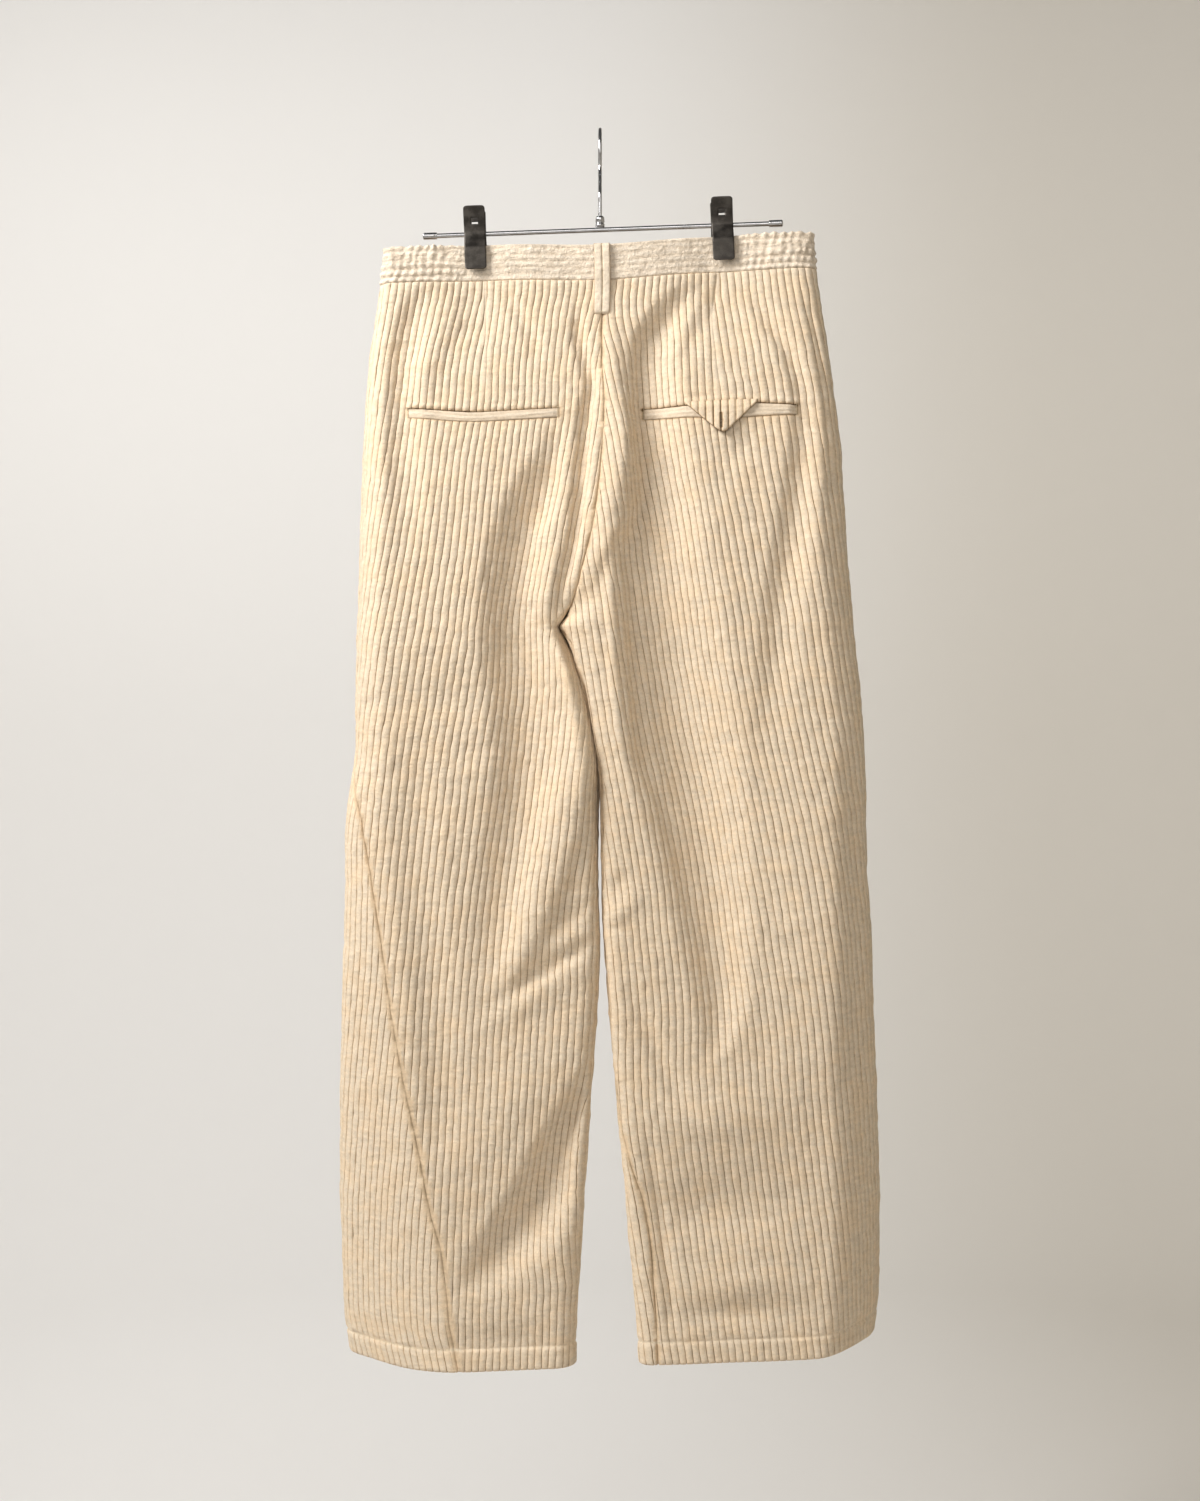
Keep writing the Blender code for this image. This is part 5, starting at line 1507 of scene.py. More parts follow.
    def build(self) -> None:
        """Make the panel: a ribbed outer sheet, a plain inner one and a rim.

        Across a wale the outer sheet is the crest height times (1 - |t|^WALE_POWER)^0.5, t from -1
        in one groove to 1 in the next.
        """
        girth = self.girth
        drop = girth.drop[:, None]
        start, end = self.start, self.end
        first = int(math.floor(self.wale_number(start).min()))
        last = int(math.ceil(self.wale_number(end).max()))
        wales = np.arange(first, last)
        steps = np.array(self.across)
        numbers = (wales[:, None] + (steps + 1) / 2).ravel()
        places = self.wale_places(numbers)
        edge = self.wale_places(np.arange(first, last + 1).astype(float))
        pitch = np.repeat(np.diff(edge, axis=1), len(steps), axis=1)
        section = np.sqrt(1 - np.abs(np.tile(steps, len(wales))) ** WALE_POWER)[None]
        strip = self.seam_strip(drop)
        fade = (smoothstep(0.7, 1.3, (places - start) / strip[0])
                * smoothstep(0.7, 1.3, (end - places) / strip[1]))
        tips = (strip[0] - NARROW_STRIP) / WIDE_STRIP * hump((places - start) / strip[0], 1.5, 0.4)
        fade = fade * (1 + 0.5 * tips)
        near_crotch = hump(drop, CROTCH_DROP, 14)
        to_inner = np.abs(np.minimum(girth.back_end - places, places - girth.front_end))
        fade = fade * (1 - near_crotch + near_crotch * smoothstep(0, 16, to_inner))
        seed = 50 + self.side.value + 4 * self.face.value
        wale_of = np.repeat(wales, len(steps))[None]
        uneven = (1 + 0.14 * lattice_noise(wale_of * 0.9, drop / 13, seed)
                  + 0.18 * lattice_noise(wale_of * 0.9, drop / 6.6, seed + 1))
        narrow = np.clip(pitch / WALE_PITCH, 0.1, 1.15) ** 1.1
        point = girth.at(places)
        keep, ground, shade = self.relief(point[..., 0], drop + 0 * places)
        ground = ground + 1.1 * (1 - fade) * smoothstep(0, 1.2, np.minimum(places - start,
                                                                          end - places))
        pile = section * fade * np.minimum(narrow, 1.1)
        out = WALE_HEIGHT * pile * uneven * keep + ground
        scallop = 1.1 * section * np.clip((drop - (HEM_DROP - 2.5)) / 2.5, 0, 1) ** 2
        scallop = scallop + section * self.tuft_reach(point[..., 0], drop)
        at_seams = [0.9 * (width - NARROW_STRIP) / WIDE_STRIP for width in strip]
        outer = self.sheet(places, out, drop + scallop, at_seams)
        # The painted wale shade: the pile's height with the painted shade and light from relief taken
        # off, mid-tone on the flat seam strips, and darker where the wales run narrow.
        wale = np.pad(section * fade * np.clip(keep, 0, 1) + 0.75 * (1 - fade) - shade
                      - 0.2 * (1 - np.clip(narrow, 0, 1)), ((0, 0), (1, 1)), mode="edge")
        inner_depth = -CLOTH - 1.5 * smoothstep(-1, 0, drop - (HEM_DROP - HEM_DEPTH)) + 0 * edge
        inner = self.sheet(edge, inner_depth, drop + 0 * edge, [inner_depth[:, :1]] * 2)
        points, faces = self.join(outer, places, inner, edge, len(steps))
        uv = np.concatenate([self.flat_places(places, drop),
                             self.flat_places(edge, drop)])
        painted_wale_shade = np.concatenate([wale.ravel(), np.full(inner.shape[:2], 0.4).ravel()])
        piece = make_piece(self.name, points, faces, LEG_CORDUROY, painted_wale_shade, uv)
        stand_for(piece, self.node)

    def tuft_reach(self, x: Array, drop: Array) -> Array:
        """How far wale ends reach down over a pocket's slit.

        Args:
            x: x of the points.
            drop: their drops.

        Returns:
            Millimetres downwards.
        """
        reach = 0 * x
        for table in (LEFT_POCKET, RIGHT_POCKET) if self.face is Face.BACK else ():
            inside = (x > table[0][0]) & (x < table[-1][0])
            reach = reach + inside * 2.2 * hump(drop, through(table, 1, x) - 0.9, 1.4)
        return reach

    def seam_strip(self, drop: Array) -> tuple[Array, Array]:
        """How wide the cloth lies flat beside each seam: wide only beside the left outseam.

        Args:
            drop: drops of the rows.

        Returns:
            Widths in mm at the panel's start and at its end.
        """
        narrow = NARROW_STRIP + 0 * drop
        if self.side is not Side.LEFT:
            return narrow, narrow
        wide = NARROW_STRIP + WIDE_STRIP * smoothstep(640, 800, drop)
        return (wide, narrow) if self.face is Face.BACK else (narrow, wide)

    def sheet(self, places: Array, out: Array, drop: Array, at_seams: list[Array]) -> Array:
        """Points of one sheet, moved out of the girth's surface, with a point on each seam.

        Args:
            places: distances of the columns, row by row.
            out: how far each point moves out.
            drop: its drop.
            at_seams: how far the points on its two seams move out.

        Returns:
            Points in metres, row by row, with one more column at each side.
        """
        seam_drop = self.girth.drop[:, None]
        all_places = self.with_seams(places)
        all_out = np.concatenate([at_seams[0], out, at_seams[1]], axis=1)
        all_drop = np.concatenate([seam_drop, drop, seam_drop], axis=1)
        point = self.girth.at(all_places) + self.girth.outward(all_places) * all_out[..., None]
        return hang(point[..., 0], point[..., 1], all_drop)

    def with_seams(self, places: Array) -> Array:
        """Places held within the panel, with one more at each seam."""
        return np.concatenate([self.start, np.clip(places, self.start, self.end), self.end], axis=1)

    def flat_places(self, places: Array, drop: Array) -> Array:
        """Where each point lies on the flat cloth: distance across and drop, in metres."""
        across = self.with_seams(places)
        return np.stack([across, -drop + 0 * across], axis=-1).reshape(-1, 2) * MM

    def corners(self, places: Array, offset: int) -> Array:
        """Point numbers of a sheet, with each column that a seam cuts off drawn in to the seam.

        Args:
            places: distances of the columns, row by row.
            offset: number of the sheet's first point.

        Returns:
            Point numbers, with one more column at each side.
        """
        rows, columns = places.shape
        number = offset + np.arange(rows * (columns + 2)).reshape(rows, columns + 2)
        place = number.copy()
        near = 0.3
        place[:, 1:-1] = np.where(places > self.end - near, number[:, -1:], number[:, 1:-1])
        place[:, 1:-1] = np.where(places < self.start + near, number[:, :1], place[:, 1:-1])
        return place

    def join(self, outer: Array, places: Array, inner: Array, edge: Array,
             steps: int) -> tuple[Array, Faces]:
        """Join an outer sheet with several columns a wale to an inner one with one a wale.

        Args:
            outer: the outer sheet's points.
            places: its columns' distances.
            inner: the inner sheet's points.
            edge: its columns' distances.
            steps: outer columns in each wale.

        Returns:
            All points and the faces of the closed wall.
        """
        total = outer.shape[0] * outer.shape[1]
        top = self.corners(places, 0)
        under = self.corners(edge, total)
        faces = Faces()
        for place, flip in ((top, False), (under, True)):
            cells = np.stack([place[:-1, :-1], place[:-1, 1:], place[1:, 1:], place[1:, :-1]],
                             axis=-1).reshape(-1, 4)
            faces.add(cells[:, ::-1] if flip else cells)
        for column, flip in ((0, False), (-1, True)):
            side = np.stack([top[:-1, column], top[1:, column], under[1:, column],
                             under[:-1, column]], axis=-1)
            faces.add(side[:, ::-1] if flip else side)
        wales = np.arange(edge.shape[1] - 1)
        below = np.concatenate([[0], np.repeat(wales, steps) + 1])
        for row, flip in ((0, False), (-1, True)):
            line, base = top[row], under[row]
            fan = np.stack([line[1:], line[:-1], base[below]], axis=-1)
            link = np.stack([base[wales], base[wales + 1], line[1 + steps * wales]], axis=-1)
            closing = np.array([[base[-3], base[-2], line[-1]]])
            for part in (fan, link, closing):
                faces.add(part[:, ::-1] if flip else part)
        return np.concatenate([outer.reshape(-1, 3), inner.reshape(-1, 3)]), faces


# ---------------- waistband
@dataclass
class Band:
    """A stretch of the waistband, folded double, with its wales running round the waist."""

    face: Face
    stretch: str
    step: float
    rows: int = 34
    cloth: float = 2.2
    wales: float = 5.5
    wale_height: float = 0.8
    edge_round: float = 1.3
    gather_reach: float = 72.0
    gather_pitch: float = 7.8
    gather_height: float = 1.5
    stitch_rows: tuple[float, ...] = (0.16, 0.39, 0.62, 0.85)

    def line(self, drop: Array) -> tuple[Array, Array, Array]:
        """The waist on this face at many drops, from the left outer edge to the right one.

        Args:
            drop: drops of the rows.

        Returns:
            Points (x, y), their distances, and the distance of the centre seam.
        """
        halves = []
        for side in Side:
            girth = Girth(side, drop)
            middle = girth.samples - 1
            if self.face is Face.BACK:
                halves.append(girth.points[:, middle:])
            else:
                halves.append(girth.points[:, :middle + 1][:, ::-1])
        points = np.concatenate([halves[0], halves[1][:, ::-1][:, 1:]], axis=1)
        steps = np.linalg.norm(np.diff(points, axis=1), axis=2)
        distance = np.concatenate([np.zeros((len(steps), 1)), np.cumsum(steps, axis=1)], axis=1)
        return points, distance, distance[:, halves[0].shape[1] - 1:halves[0].shape[1]]

    def gathers(self, place: Array, share: Array, total: Array) -> Array:
        """Gathers over the elastic ends of the back: sin^2 bumps, pinched at each row of stitches.

        Args:
            place: distances along the waist.
            share: shares of the height, from the top.
            total: the waist's length on this face.

        Returns:
            Heights in mm, 0 on the front.
        """
        if self.face is Face.FRONT:
            return np.zeros_like(place)
        reach = np.minimum(place, total - place)
        elastic = 1 - smoothstep(self.gather_reach * 0.75, self.gather_reach * 1.2, reach)
        shift = 0.4 * lattice_noise(place / 14, share * 4.2, 74)
        bumps = (0.65 * np.sin(np.pi * (place / self.gather_pitch + shift)) ** 2
                 + 0.35 * lattice_noise(place / 5, share * 5, 75))
        pinch = sum(hump(share, row, 0.05) for row in self.stitch_rows)
        return elastic * self.gather_height * (bumps * (1 - 0.6 * pinch) - 0.45 * pinch)

    def build(self) -> None:
        """Make the band: low wales along it, gathers at its elastic ends, rounded edges."""
        share = np.linspace(0, 1, self.rows)[:, None]
        drop = WAIST_TOP_DROP + share * (WAIST_SEAM_DROP - SEAM_GAP / 2 - WAIST_TOP_DROP)
        points, distance, centre = self.line(drop[:, 0])
        total = distance[:, -1:]
        begin = centre if self.stretch == "front_right" else 0 * centre
        finish = centre if self.stretch == "front_left" else total
        columns = int((finish - begin).mean() / self.step)
        across = np.linspace(0, 1, columns)[None]
        place = begin + SEAM_GAP / 2 + (finish - begin - SEAM_GAP) * across
        outward = turned_out(read_line(place + TANGENT_STEP, distance, points)
                             - read_line(place - TANGENT_STEP, distance, points), -self.face.value)
        wave = share * self.wales + 0.12 * lattice_noise(place / 30, share * 4, 71)
        ribs = np.abs(np.cos(np.pi * wave)) ** 0.7
        ribs = ribs * (0.8 + 0.2 * lattice_noise(place / 8, share * 5, 70))
        fuzz = (0.34 * lattice_noise(place / 4.2, share * 9, 72)
                + 0.22 * lattice_noise(place / 1.9, share * 16, 73))
        gather = self.gathers(place, share, total)
        edge = np.minimum(share, 1 - share) * (WAIST_SEAM_DROP - WAIST_TOP_DROP)
        rounded = quarter_round(edge / self.edge_round)
        out = (self.cloth / 2 + self.wale_height * ribs + fuzz + gather) * (0.45 + 0.55 * rounded)
        inner_out = -self.cloth / 2 * (0.3 + 0.7 * rounded) + 0 * place
        scallop = 1.2 * gather * (1 - smoothstep(0, 0.12, share))
        grids = []
        base = read_line(place, distance, points)
        for moved in (out, inner_out):
            point = base + outward * moved[..., None]
            grids.append(hang(point[..., 0], point[..., 1], drop - scallop))
        # Painted shade: lighter on the ribs' tops, darker between them and at the band's rounded edges,
        # where it turns under.
        pile = 0.42 + 0.5 * ribs * (0.6 + 0.4 * rounded) + 0.35 * fuzz + 0 * place
        pile = pile - 0.05 * (1 - rounded)
        wale = np.concatenate([pile.ravel(), np.full(place.size, 0.5)])
        uv = np.tile(np.stack([place, -drop + 0 * place], axis=-1).reshape(-1, 2) * MM, (2, 1))
        solid = f"waistband_{self.stretch}"
        piece = make_piece(f"corduroy_{solid}", np.concatenate(grids).reshape(-1, 3),
                           shell_faces(self.rows, columns), BAND_CORDUROY, wale, uv)
        stand_for(piece, solid)


# ---------------- pieces laid on the panels
def laid_sheet(solid: str, face: Face, x: Array, drop: Array, under: Array, over: Array,
               pile: Array, finish: "Finish", under_pile: float = 0.4,
               keep: Array | None = None) -> Piece:
    """A closed sheet over a face of the garment, between two distances off its grooves.

    Args:
        solid: the solid that it stands for.
        face: back or front.
        x: x of its grid of points.
        drop: their drops.
        under: how far its underside stands off.
        over: how far its outer side does.
        pile: the painted wale shade on the outer side, from 0 to 1.
        finish: its cloth.
        under_pile: the painted wale shade on the underside.
        keep: which cells are there, all of them if left out.

    Returns:
        The object.
    """
    grids = np.concatenate([on_face(face, x, drop, over), on_face(face, x, drop, under)])
    piece = make_piece(f"corduroy_{solid}", grids.reshape(-1, 3), shell_faces(*x.shape, keep),
                       finish, np.concatenate([pile.ravel(), np.full(x.size, under_pile)]))
    stand_for(piece, solid)
    return piece


@dataclass
class BeltLoop:
    """A belt loop two wales wide, sewn down over the band and the top of the leg."""

    face: Face
    centre: float
    solid: str
    width: float = 14.8
    length: float = 68.0
    grid: tuple[int, int] = (60, 25)
    tack_stitches: int = 22

    def build(self) -> None:
        """Make the loop: two round wales side by side, bowed off the band, with soft ends."""
        share = np.linspace(0, 1, self.grid[0])[:, None]
        t = np.linspace(-1, 1, self.grid[1])[None]
        drop = WAIST_TOP_DROP - 0.5 + self.length * share + 0 * t
        lean = 0.8 * np.sin(3 * share)
        x = self.centre + self.width / 2 * t * (1 - 0.05 * hump(share, 1, 0.06)) + lean
        wales = np.sqrt(np.clip(1 - np.abs(2 * np.abs(t) - 1) ** 2.6, 0, 1))
        ends = round_turn(share / 0.05) + round_turn((1 - share) / 0.07)
        over_band = 1 - smoothstep(0.44, 0.60, share)
        low = 1.2 + 1.8 * over_band + 1.6 * np.sin(np.pi * share) ** 0.7
        cloth = 1.2 + 1.1 * wales * (1 - 0.4 * ends)
        cloth = cloth + 0.2 * lattice_noise(x / 3, drop / 5, 81)
        out = low + cloth * (1 - 0.55 * ends) - 0.8 * ends
        # Painted shade: darker between its two wales and at its tucked ends.
        piece = laid_sheet(self.solid, self.face, x, drop, low - 0.6 * ends, out,
                           0.25 + 0.75 * wales - 0.2 * ends, LOOP_CORDUROY)

    def sew(self, sewing: Sewing) -> None:
        """Bar-tack the loop's lower end: a close zigzag of thread across it.

        Args:
            sewing: the thread that takes the stitches.
        """
        t = np.linspace(-0.8, 0.8, self.tack_stitches)
        x = self.centre + self.width / 2 * t + 0.2
        zigzag = 1.1 * (np.arange(self.tack_stitches) % 2)
        drop = WAIST_TOP_DROP + self.length - 3.4 + zigzag
        sewing.along(self.face, x, drop, 2.9, 1.6, 0.9)


@dataclass
class Welt:
    """The welt under a back pocket's slit, cut along the cloth so its grain runs level."""

    line: Table
    solid: str
    height: float = 11.5
    rows: int = 16
    column_step: float = 1.1

    def build(self) -> None:
        """Make the welt: a soft roll between the slit and its lower edge."""
        low_x, high_x = self.line[0][0], self.line[-1][0]
        share = np.linspace(0, 1, self.rows)[:, None]
        columns = int((high_x - low_x) / self.column_step)
        x = np.linspace(low_x, high_x, columns)[None] + 0 * share
        slit, low = through(self.line, 1, x), through(self.line, 2, x)
        drop = slit + 1.0 + (low + 0.4 - slit - 1.0) * share
        roll = np.sqrt(np.clip(1 - np.abs(2 * share - 1) ** 3, 0, 1))
        ends = smoothstep(0, 5, np.minimum(x - low_x, high_x - x))
        grain = 0.16 * np.sin(2 * np.pi * (share * 2.6 + 0.3 * lattice_noise(x / 40, share, 91)))
        fuzz = 0.14 * lattice_noise(x / 3.4, drop / 1.6, 92)
        out = 0.35 + (1.9 * roll + grain + fuzz) * (0.45 + 0.55 * ends)
        # Painted shade of the roll: lighter along its middle and on its ribs, darker at its edges.
        piece = laid_sheet(self.solid, Face.BACK, x, drop, -0.5 + 0 * x, out,
                           0.42 + 0.4 * roll + grain + 0.4 * fuzz, WELT_CORDUROY)

    def sew(self, sewing: Sewing) -> None:
        """Stitch along the welt's lower edge, and a bar-tack at each end.

        Args:
            sewing: the thread that takes the stitches.
        """
        low_x, high_x = self.line[0][0], self.line[-1][0]
        x = np.linspace(low_x, high_x, 120)
        sewing.along(Face.BACK, x, through(self.line, 2, x) + 1.2, 0.75, 2.6)
        zigzag = 0.5 * (np.arange(12) % 2 - 0.5)
        for end in (low_x - 0.2, high_x + 0.2):
            slit, low = (float(through(self.line, column, end)) for column in (1, 2))
            sewing.along(Face.BACK, end + zigzag, np.linspace(slit - 1, low + 1.5, 12), 1.5, 1.5, 0.9)


@dataclass
class Flap:
    """The triangular flap over the right back pocket, with its wales and buttonhole."""

    top_x: tuple[float, float] = (79.0, 146.0)
    top_drop: float = 261.0
    tip_x: float = 113.5
    tip_drop: float = 294.0
    hole_x: float = 111.5
    hole_drops: tuple[float, float] = (274.0, 287.0)
    hole_half: float = 0.7
    wale_pitch: float = 6.9
    edge_round: float = 2.2
    area_share: float = 0.55
    rows: int = 44
    columns: tuple[int, int] = (42, 44)

    def build(self) -> None:
        """Make the flap: columns at fixed x, each as long as the triangle is there."""
        low_x, high_x = self.top_x
        hole_top, hole_low = self.hole_drops
        left = np.linspace(low_x, self.hole_x - self.hole_half, self.columns[0])
        right = np.linspace(self.hole_x + self.hole_half, high_x, self.columns[1])
        x = np.concatenate([left, [self.hole_x], right])[None]
        share = np.linspace(0, 1, self.rows)[:, None]
        reach = np.where(x < self.tip_x, (x - low_x) / (self.tip_x - low_x),
                         (high_x - x) / (high_x - self.tip_x))
        height = self.tip_drop - self.top_drop
        length = 2.0 + (height - 2.0) * np.clip(reach, 0, 1)
        length = length - 2.2 * hump(x, self.tip_x, 3.0)
        drop = self.top_drop + share * length
        x = x + 0 * share
        wale_t = (x - self.hole_x) / self.wale_pitch % 1.0 * 2 - 1
        wales = np.sqrt(np.clip(1 - np.abs(wale_t) ** 3, 0, 1))
        rim = quarter_round((1 - share) * length / self.edge_round)
        tucked = smoothstep(0, 0.22, share * length / 30)
        button = 1.6 * hump(x, 112, 9) * hump(drop, 281, 9)
        lift = 0.9 + 2.4 * tucked + button + 1.2 * smoothstep(0.5, 1, share * length / 32)
        hole = (hump(x, self.hole_x, 1.6) * smoothstep(hole_top - 1.5, hole_top, drop)
                * (1 - smoothstep(hole_low, hole_low + 1.5, drop)))
        out = lift + (0.9 + 1.9 * wales * (0.5 + 0.5 * rim)) * (0.35 + 0.65 * rim) - 0.5 * hole
        out = out + 0.15 * lattice_noise(x / 3, drop / 4, 95)
        mid_x = (x[:-1, :-1] + x[1:, 1:]) / 2
        mid_drop = (drop[:-1, :-1] + drop[1:, 1:]) / 2
        keep = ~((np.abs(mid_x - self.hole_x) < self.hole_half) & (mid_drop > hole_top)
                 & (mid_drop < hole_low))
        # Painted shade: darker between its wales and towards its rounded lower edges, and a painted
        # shadow round the buttonhole.
        piece = laid_sheet("pocket_flap", Face.BACK, x, drop, lift - 0.3, out,
                           wales * (0.45 + 0.55 * rim) - 0.8 * hole, LEG_CORDUROY, 0.25, keep)

    def sew(self, sewing: Sewing) -> None:
        """Whip the buttonhole's edges with close fine stitches that lie across them.

        Args:
            sewing: the thread that takes the stitches.
        """
        drops = np.linspace(self.hole_drops[0] - 0.5, self.hole_drops[1] + 0.5, 20)
        for way in (-1, 1):
            inner, outer = (on_face(Face.BACK, self.hole_x + way * aside + 0 * drops, drops,
                                    out + 0 * drops) for aside, out in ((0.5, 5.0), (1.9, 5.5)))
            sewing.rows.append((inner, outer, np.tile([0.0, -1.0, 0.0], (len(drops), 1))))


@dataclass
class Button:
    """A flat horn button with a rim and a dished middle, held by crossed threads."""

    solid: str
    face: Face
    cross_reach: float = 1.5

    def build(self, sewing: Sewing) -> None:
        """Turn the button on its solid's middle and cross two threads over it.

        Args:
            sewing: the thread that holds it.
        """
        low, high = (np.array(corner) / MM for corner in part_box(self.solid))
        radius = (high[0] - low[0]) / 2
        thick = high[1] - low[1]
        way = np.array([0.0, float(self.face.value), 0.0])
        start = (low + high) / 2 - way * thick / 2
        profile = np.array([(0, 0), (0, 0.8), (0.15, 0.95), (0.5, 1), (0.85, 0.97), (1, 0.88),
                            (0.97, 0.78), (0.72, 0.66), (0.66, 0.4), (0.66, 0)])
        piece = turned_piece(f"horn_{self.solid}", profile * (thick, radius), start, way, HORN, 48)
        stand_for(piece, self.solid)
        top = start + way * thick * 0.72
        for turn in (math.radians(45), math.radians(135)):
            across = self.cross_reach * np.array([math.cos(turn), 0, math.sin(turn)])
            sewing.rows.append(((top - across)[None] * MM, (top + across)[None] * MM, way[None]))


@dataclass
class Seams:
    """Sewing that lies on the leg panels: the hems and the fly's curve."""

    sewing: Sewing
    hem_pitch: float = 3.1
    fly_pitch: float = 2.8
    fly_x: float = -34.0
    fly_turn_drop: float = 285.0
    fly_low_drop: float = 318.0

    def hems(self) -> None:
        """Stitch round each leg a hem's depth above the edge."""
        drop = HEM_DROP - HEM_DEPTH
        for side in Side:
            girth = Girth(side, np.array([drop]))
            place = np.linspace(girth.front_end[0, 0], girth.back_end[0, 0], 700)[None]
            outward, point = girth.outward(place), girth.at(place)
            out = 0.75 + lumps(point[..., 0], drop, Face.BACK) - 0.35
            point = point + outward * out[..., None]
            path = hang(point[..., 0], point[..., 1], drop)[0]
            flat_out = np.concatenate([outward[0], np.zeros((len(path), 1))], axis=1)
            self.sewing.add(path, flat_out, self.hem_pitch)

    def fly(self) -> None:
        """Stitch the fly's curve on the left front: straight down, then round to the seam."""
        straight = np.linspace(WAIST_SEAM_DROP + 2, self.fly_turn_drop, 60)
        angle = np.linspace(0, np.pi / 2, 30)[1:]
        low = self.fly_low_drop - self.fly_turn_drop
        drop = np.concatenate([straight, self.fly_turn_drop + low * np.sin(angle)])
        x = np.concatenate([self.fly_x + 0 * straight, self.fly_x - self.fly_x * (1 - np.cos(angle))])
        for shift in (0.0, 6.0):
            self.sewing.along(Face.FRONT, x - shift * 0.8, drop + shift * 0.4, 1.9, self.fly_pitch)


# ---------------- hanger
def spaced(*stretches: tuple[float, float, int]) -> Array:
    """Numbers spaced evenly in each stretch, given as (first, last, how many)."""
    return np.concatenate([np.linspace(*stretch) for stretch in stretches])


@dataclass
class Hanger:
    """A steel bar with capped ends, a wire hook in a ferrule and two sprung clips."""

    bar_drop: float = 91.7
    bar_radius: float = 2.25
    bar_ends: tuple[float, float] = (-163.0, 168.5)
    bar_edge: float = 0.3
    cap_radius: float = 3.3
    cap_length: float = 13.2
    cap_end: float = 3.4
    cap_round: float = 1.4
    bore_gap: float = 0.1
    hook_inside: float = 22.0
    wire: float = 3.5
    wire_sides: int = 20
    tip_angle: float = math.radians(128.0)
    neck_angle: float = math.radians(135.0)
    neck_bend: float = 12.0
    ferrule_radius: float = 4.4
    ferrule_top: float = 79.0
    clearance: float = 0.3
    plate_width: float = 20.2
    plate_top: float = 25.0
    plate_bottom: float = 35.0
    plate: float = 1.2
    plate_lip: float = 1.0
    plate_corner: float = 3.0
    hole_width: float = 6.6
    hole_height: float = 5.6
    hole_above_bar: float = 11.0
    heel: float = 9.0
    barrel_radius: float = 4.2
    barrel_length: float = 16.0
    spring_turns: int = 12
    spring_groove: float = 0.35

    def bar_place(self, x: float) -> Array:
        """A point of the bar's middle line in mm."""
        return np.array([x, 0.0, -self.bar_drop + math.tan(HANG_LEAN) * x])

    def bar_way(self) -> Array:
        """The bar's direction towards +X."""
        return np.array([math.cos(HANG_LEAN), 0.0, math.sin(HANG_LEAN)])

    def build(self) -> None:
        """Make every piece of the hanger."""
        self.build_bar()
        self.build_hook()
        for name, x in zip(("left", "right"), CLIP_X):
            self.build_clip(name, x)

    def build_bar(self) -> None:
        """Turn the bar, and a cap with a rounded end and a rolled mouth for each end."""
        way, radius = self.bar_way(), self.bar_radius
        start = self.bar_place(self.bar_ends[0])
        length = (self.bar_ends[1] - self.bar_ends[0]) / math.cos(HANG_LEAN)
        bar = np.array([(0, 0), (0, radius - self.bar_edge), (self.bar_edge, radius)]
                       + [(share * length, radius) for share in np.linspace(0.01, 0.99, 30)]
                       + [(length - self.bar_edge, radius), (length, radius - self.bar_edge),
                          (length, 0)])
        stand_for(turned_piece("chrome_bar", bar, start, way, CHROME), "hanger_bar")
        bore = radius + self.bore_gap
        mouth, bulge, rim = self.cap_end - self.cap_length, self.cap_round, self.cap_radius
        tip = [(self.cap_end - bulge + bulge * math.cos(angle), rim - bulge + bulge * math.sin(angle))
               for angle in np.linspace(0, np.pi / 2, 8)]
        cap = np.array([(self.cap_end, 0), *tip, (mouth + 1.6, rim), (mouth + 1.2, rim - 0.25),
                        (mouth + 0.8, rim), (mouth + 0.2, rim), (mouth, rim - 0.25), (mouth, bore),
                        (0.2, bore), (0.2, 0)])
        for name, end, out in (("left", self.bar_ends[0], -1), ("right", self.bar_ends[1], 1)):
            piece = turned_piece(f"chrome_cap_{name}", cap, self.bar_place(end), way * out, CHROME)
            stand_for(piece, f"bar_cap_{name}")

    def hook_path(self) -> Array:
        """The hook's middle line: stem, neck bend, then round the crown to the tip.

        Returns:
            Points in mm, evenly spread along it.
        """
        radius = self.hook_inside + self.wire / 2
        centre = -self.hook_inside
        neck, bend_radius = self.neck_angle, self.neck_bend
        turn = math.pi - neck
        leave = np.array([radius * math.sin(neck), centre + radius * math.cos(neck)])
        run = (leave[0] - bend_radius * (1 - math.cos(turn))) / math.sin(turn)
        bend_top = leave - run * np.array([math.sin(turn), math.cos(turn)])
        bend_centre = np.array([bend_radius, bend_top[1] - bend_radius * math.sin(turn)])
        angle = np.linspace(0, turn, 14)
        bend = bend_centre + bend_radius * np.stack([-np.cos(angle), np.sin(angle)], axis=1)
        around = np.linspace(neck, -self.tip_angle, 90)
        crown = np.stack([radius * np.sin(around), centre + radius * np.cos(around)], axis=1)
        foot = -self.ferrule_top + self.clearance - 1.5
        stem = np.stack([np.zeros(8), np.linspace(foot, bend[0, 1] - 1, 8)], axis=1)
        line = np.concatenate([stem, bend, crown])
        walked = np.concatenate([[0], np.cumsum(np.linalg.norm(np.diff(line, axis=0), axis=1))])
        even = np.linspace(0, walked[-1], 150)
        y, z = (np.interp(even, walked, line[:, axis]) for axis in (0, 1))
        return np.stack([0 * y, y, z], axis=1)

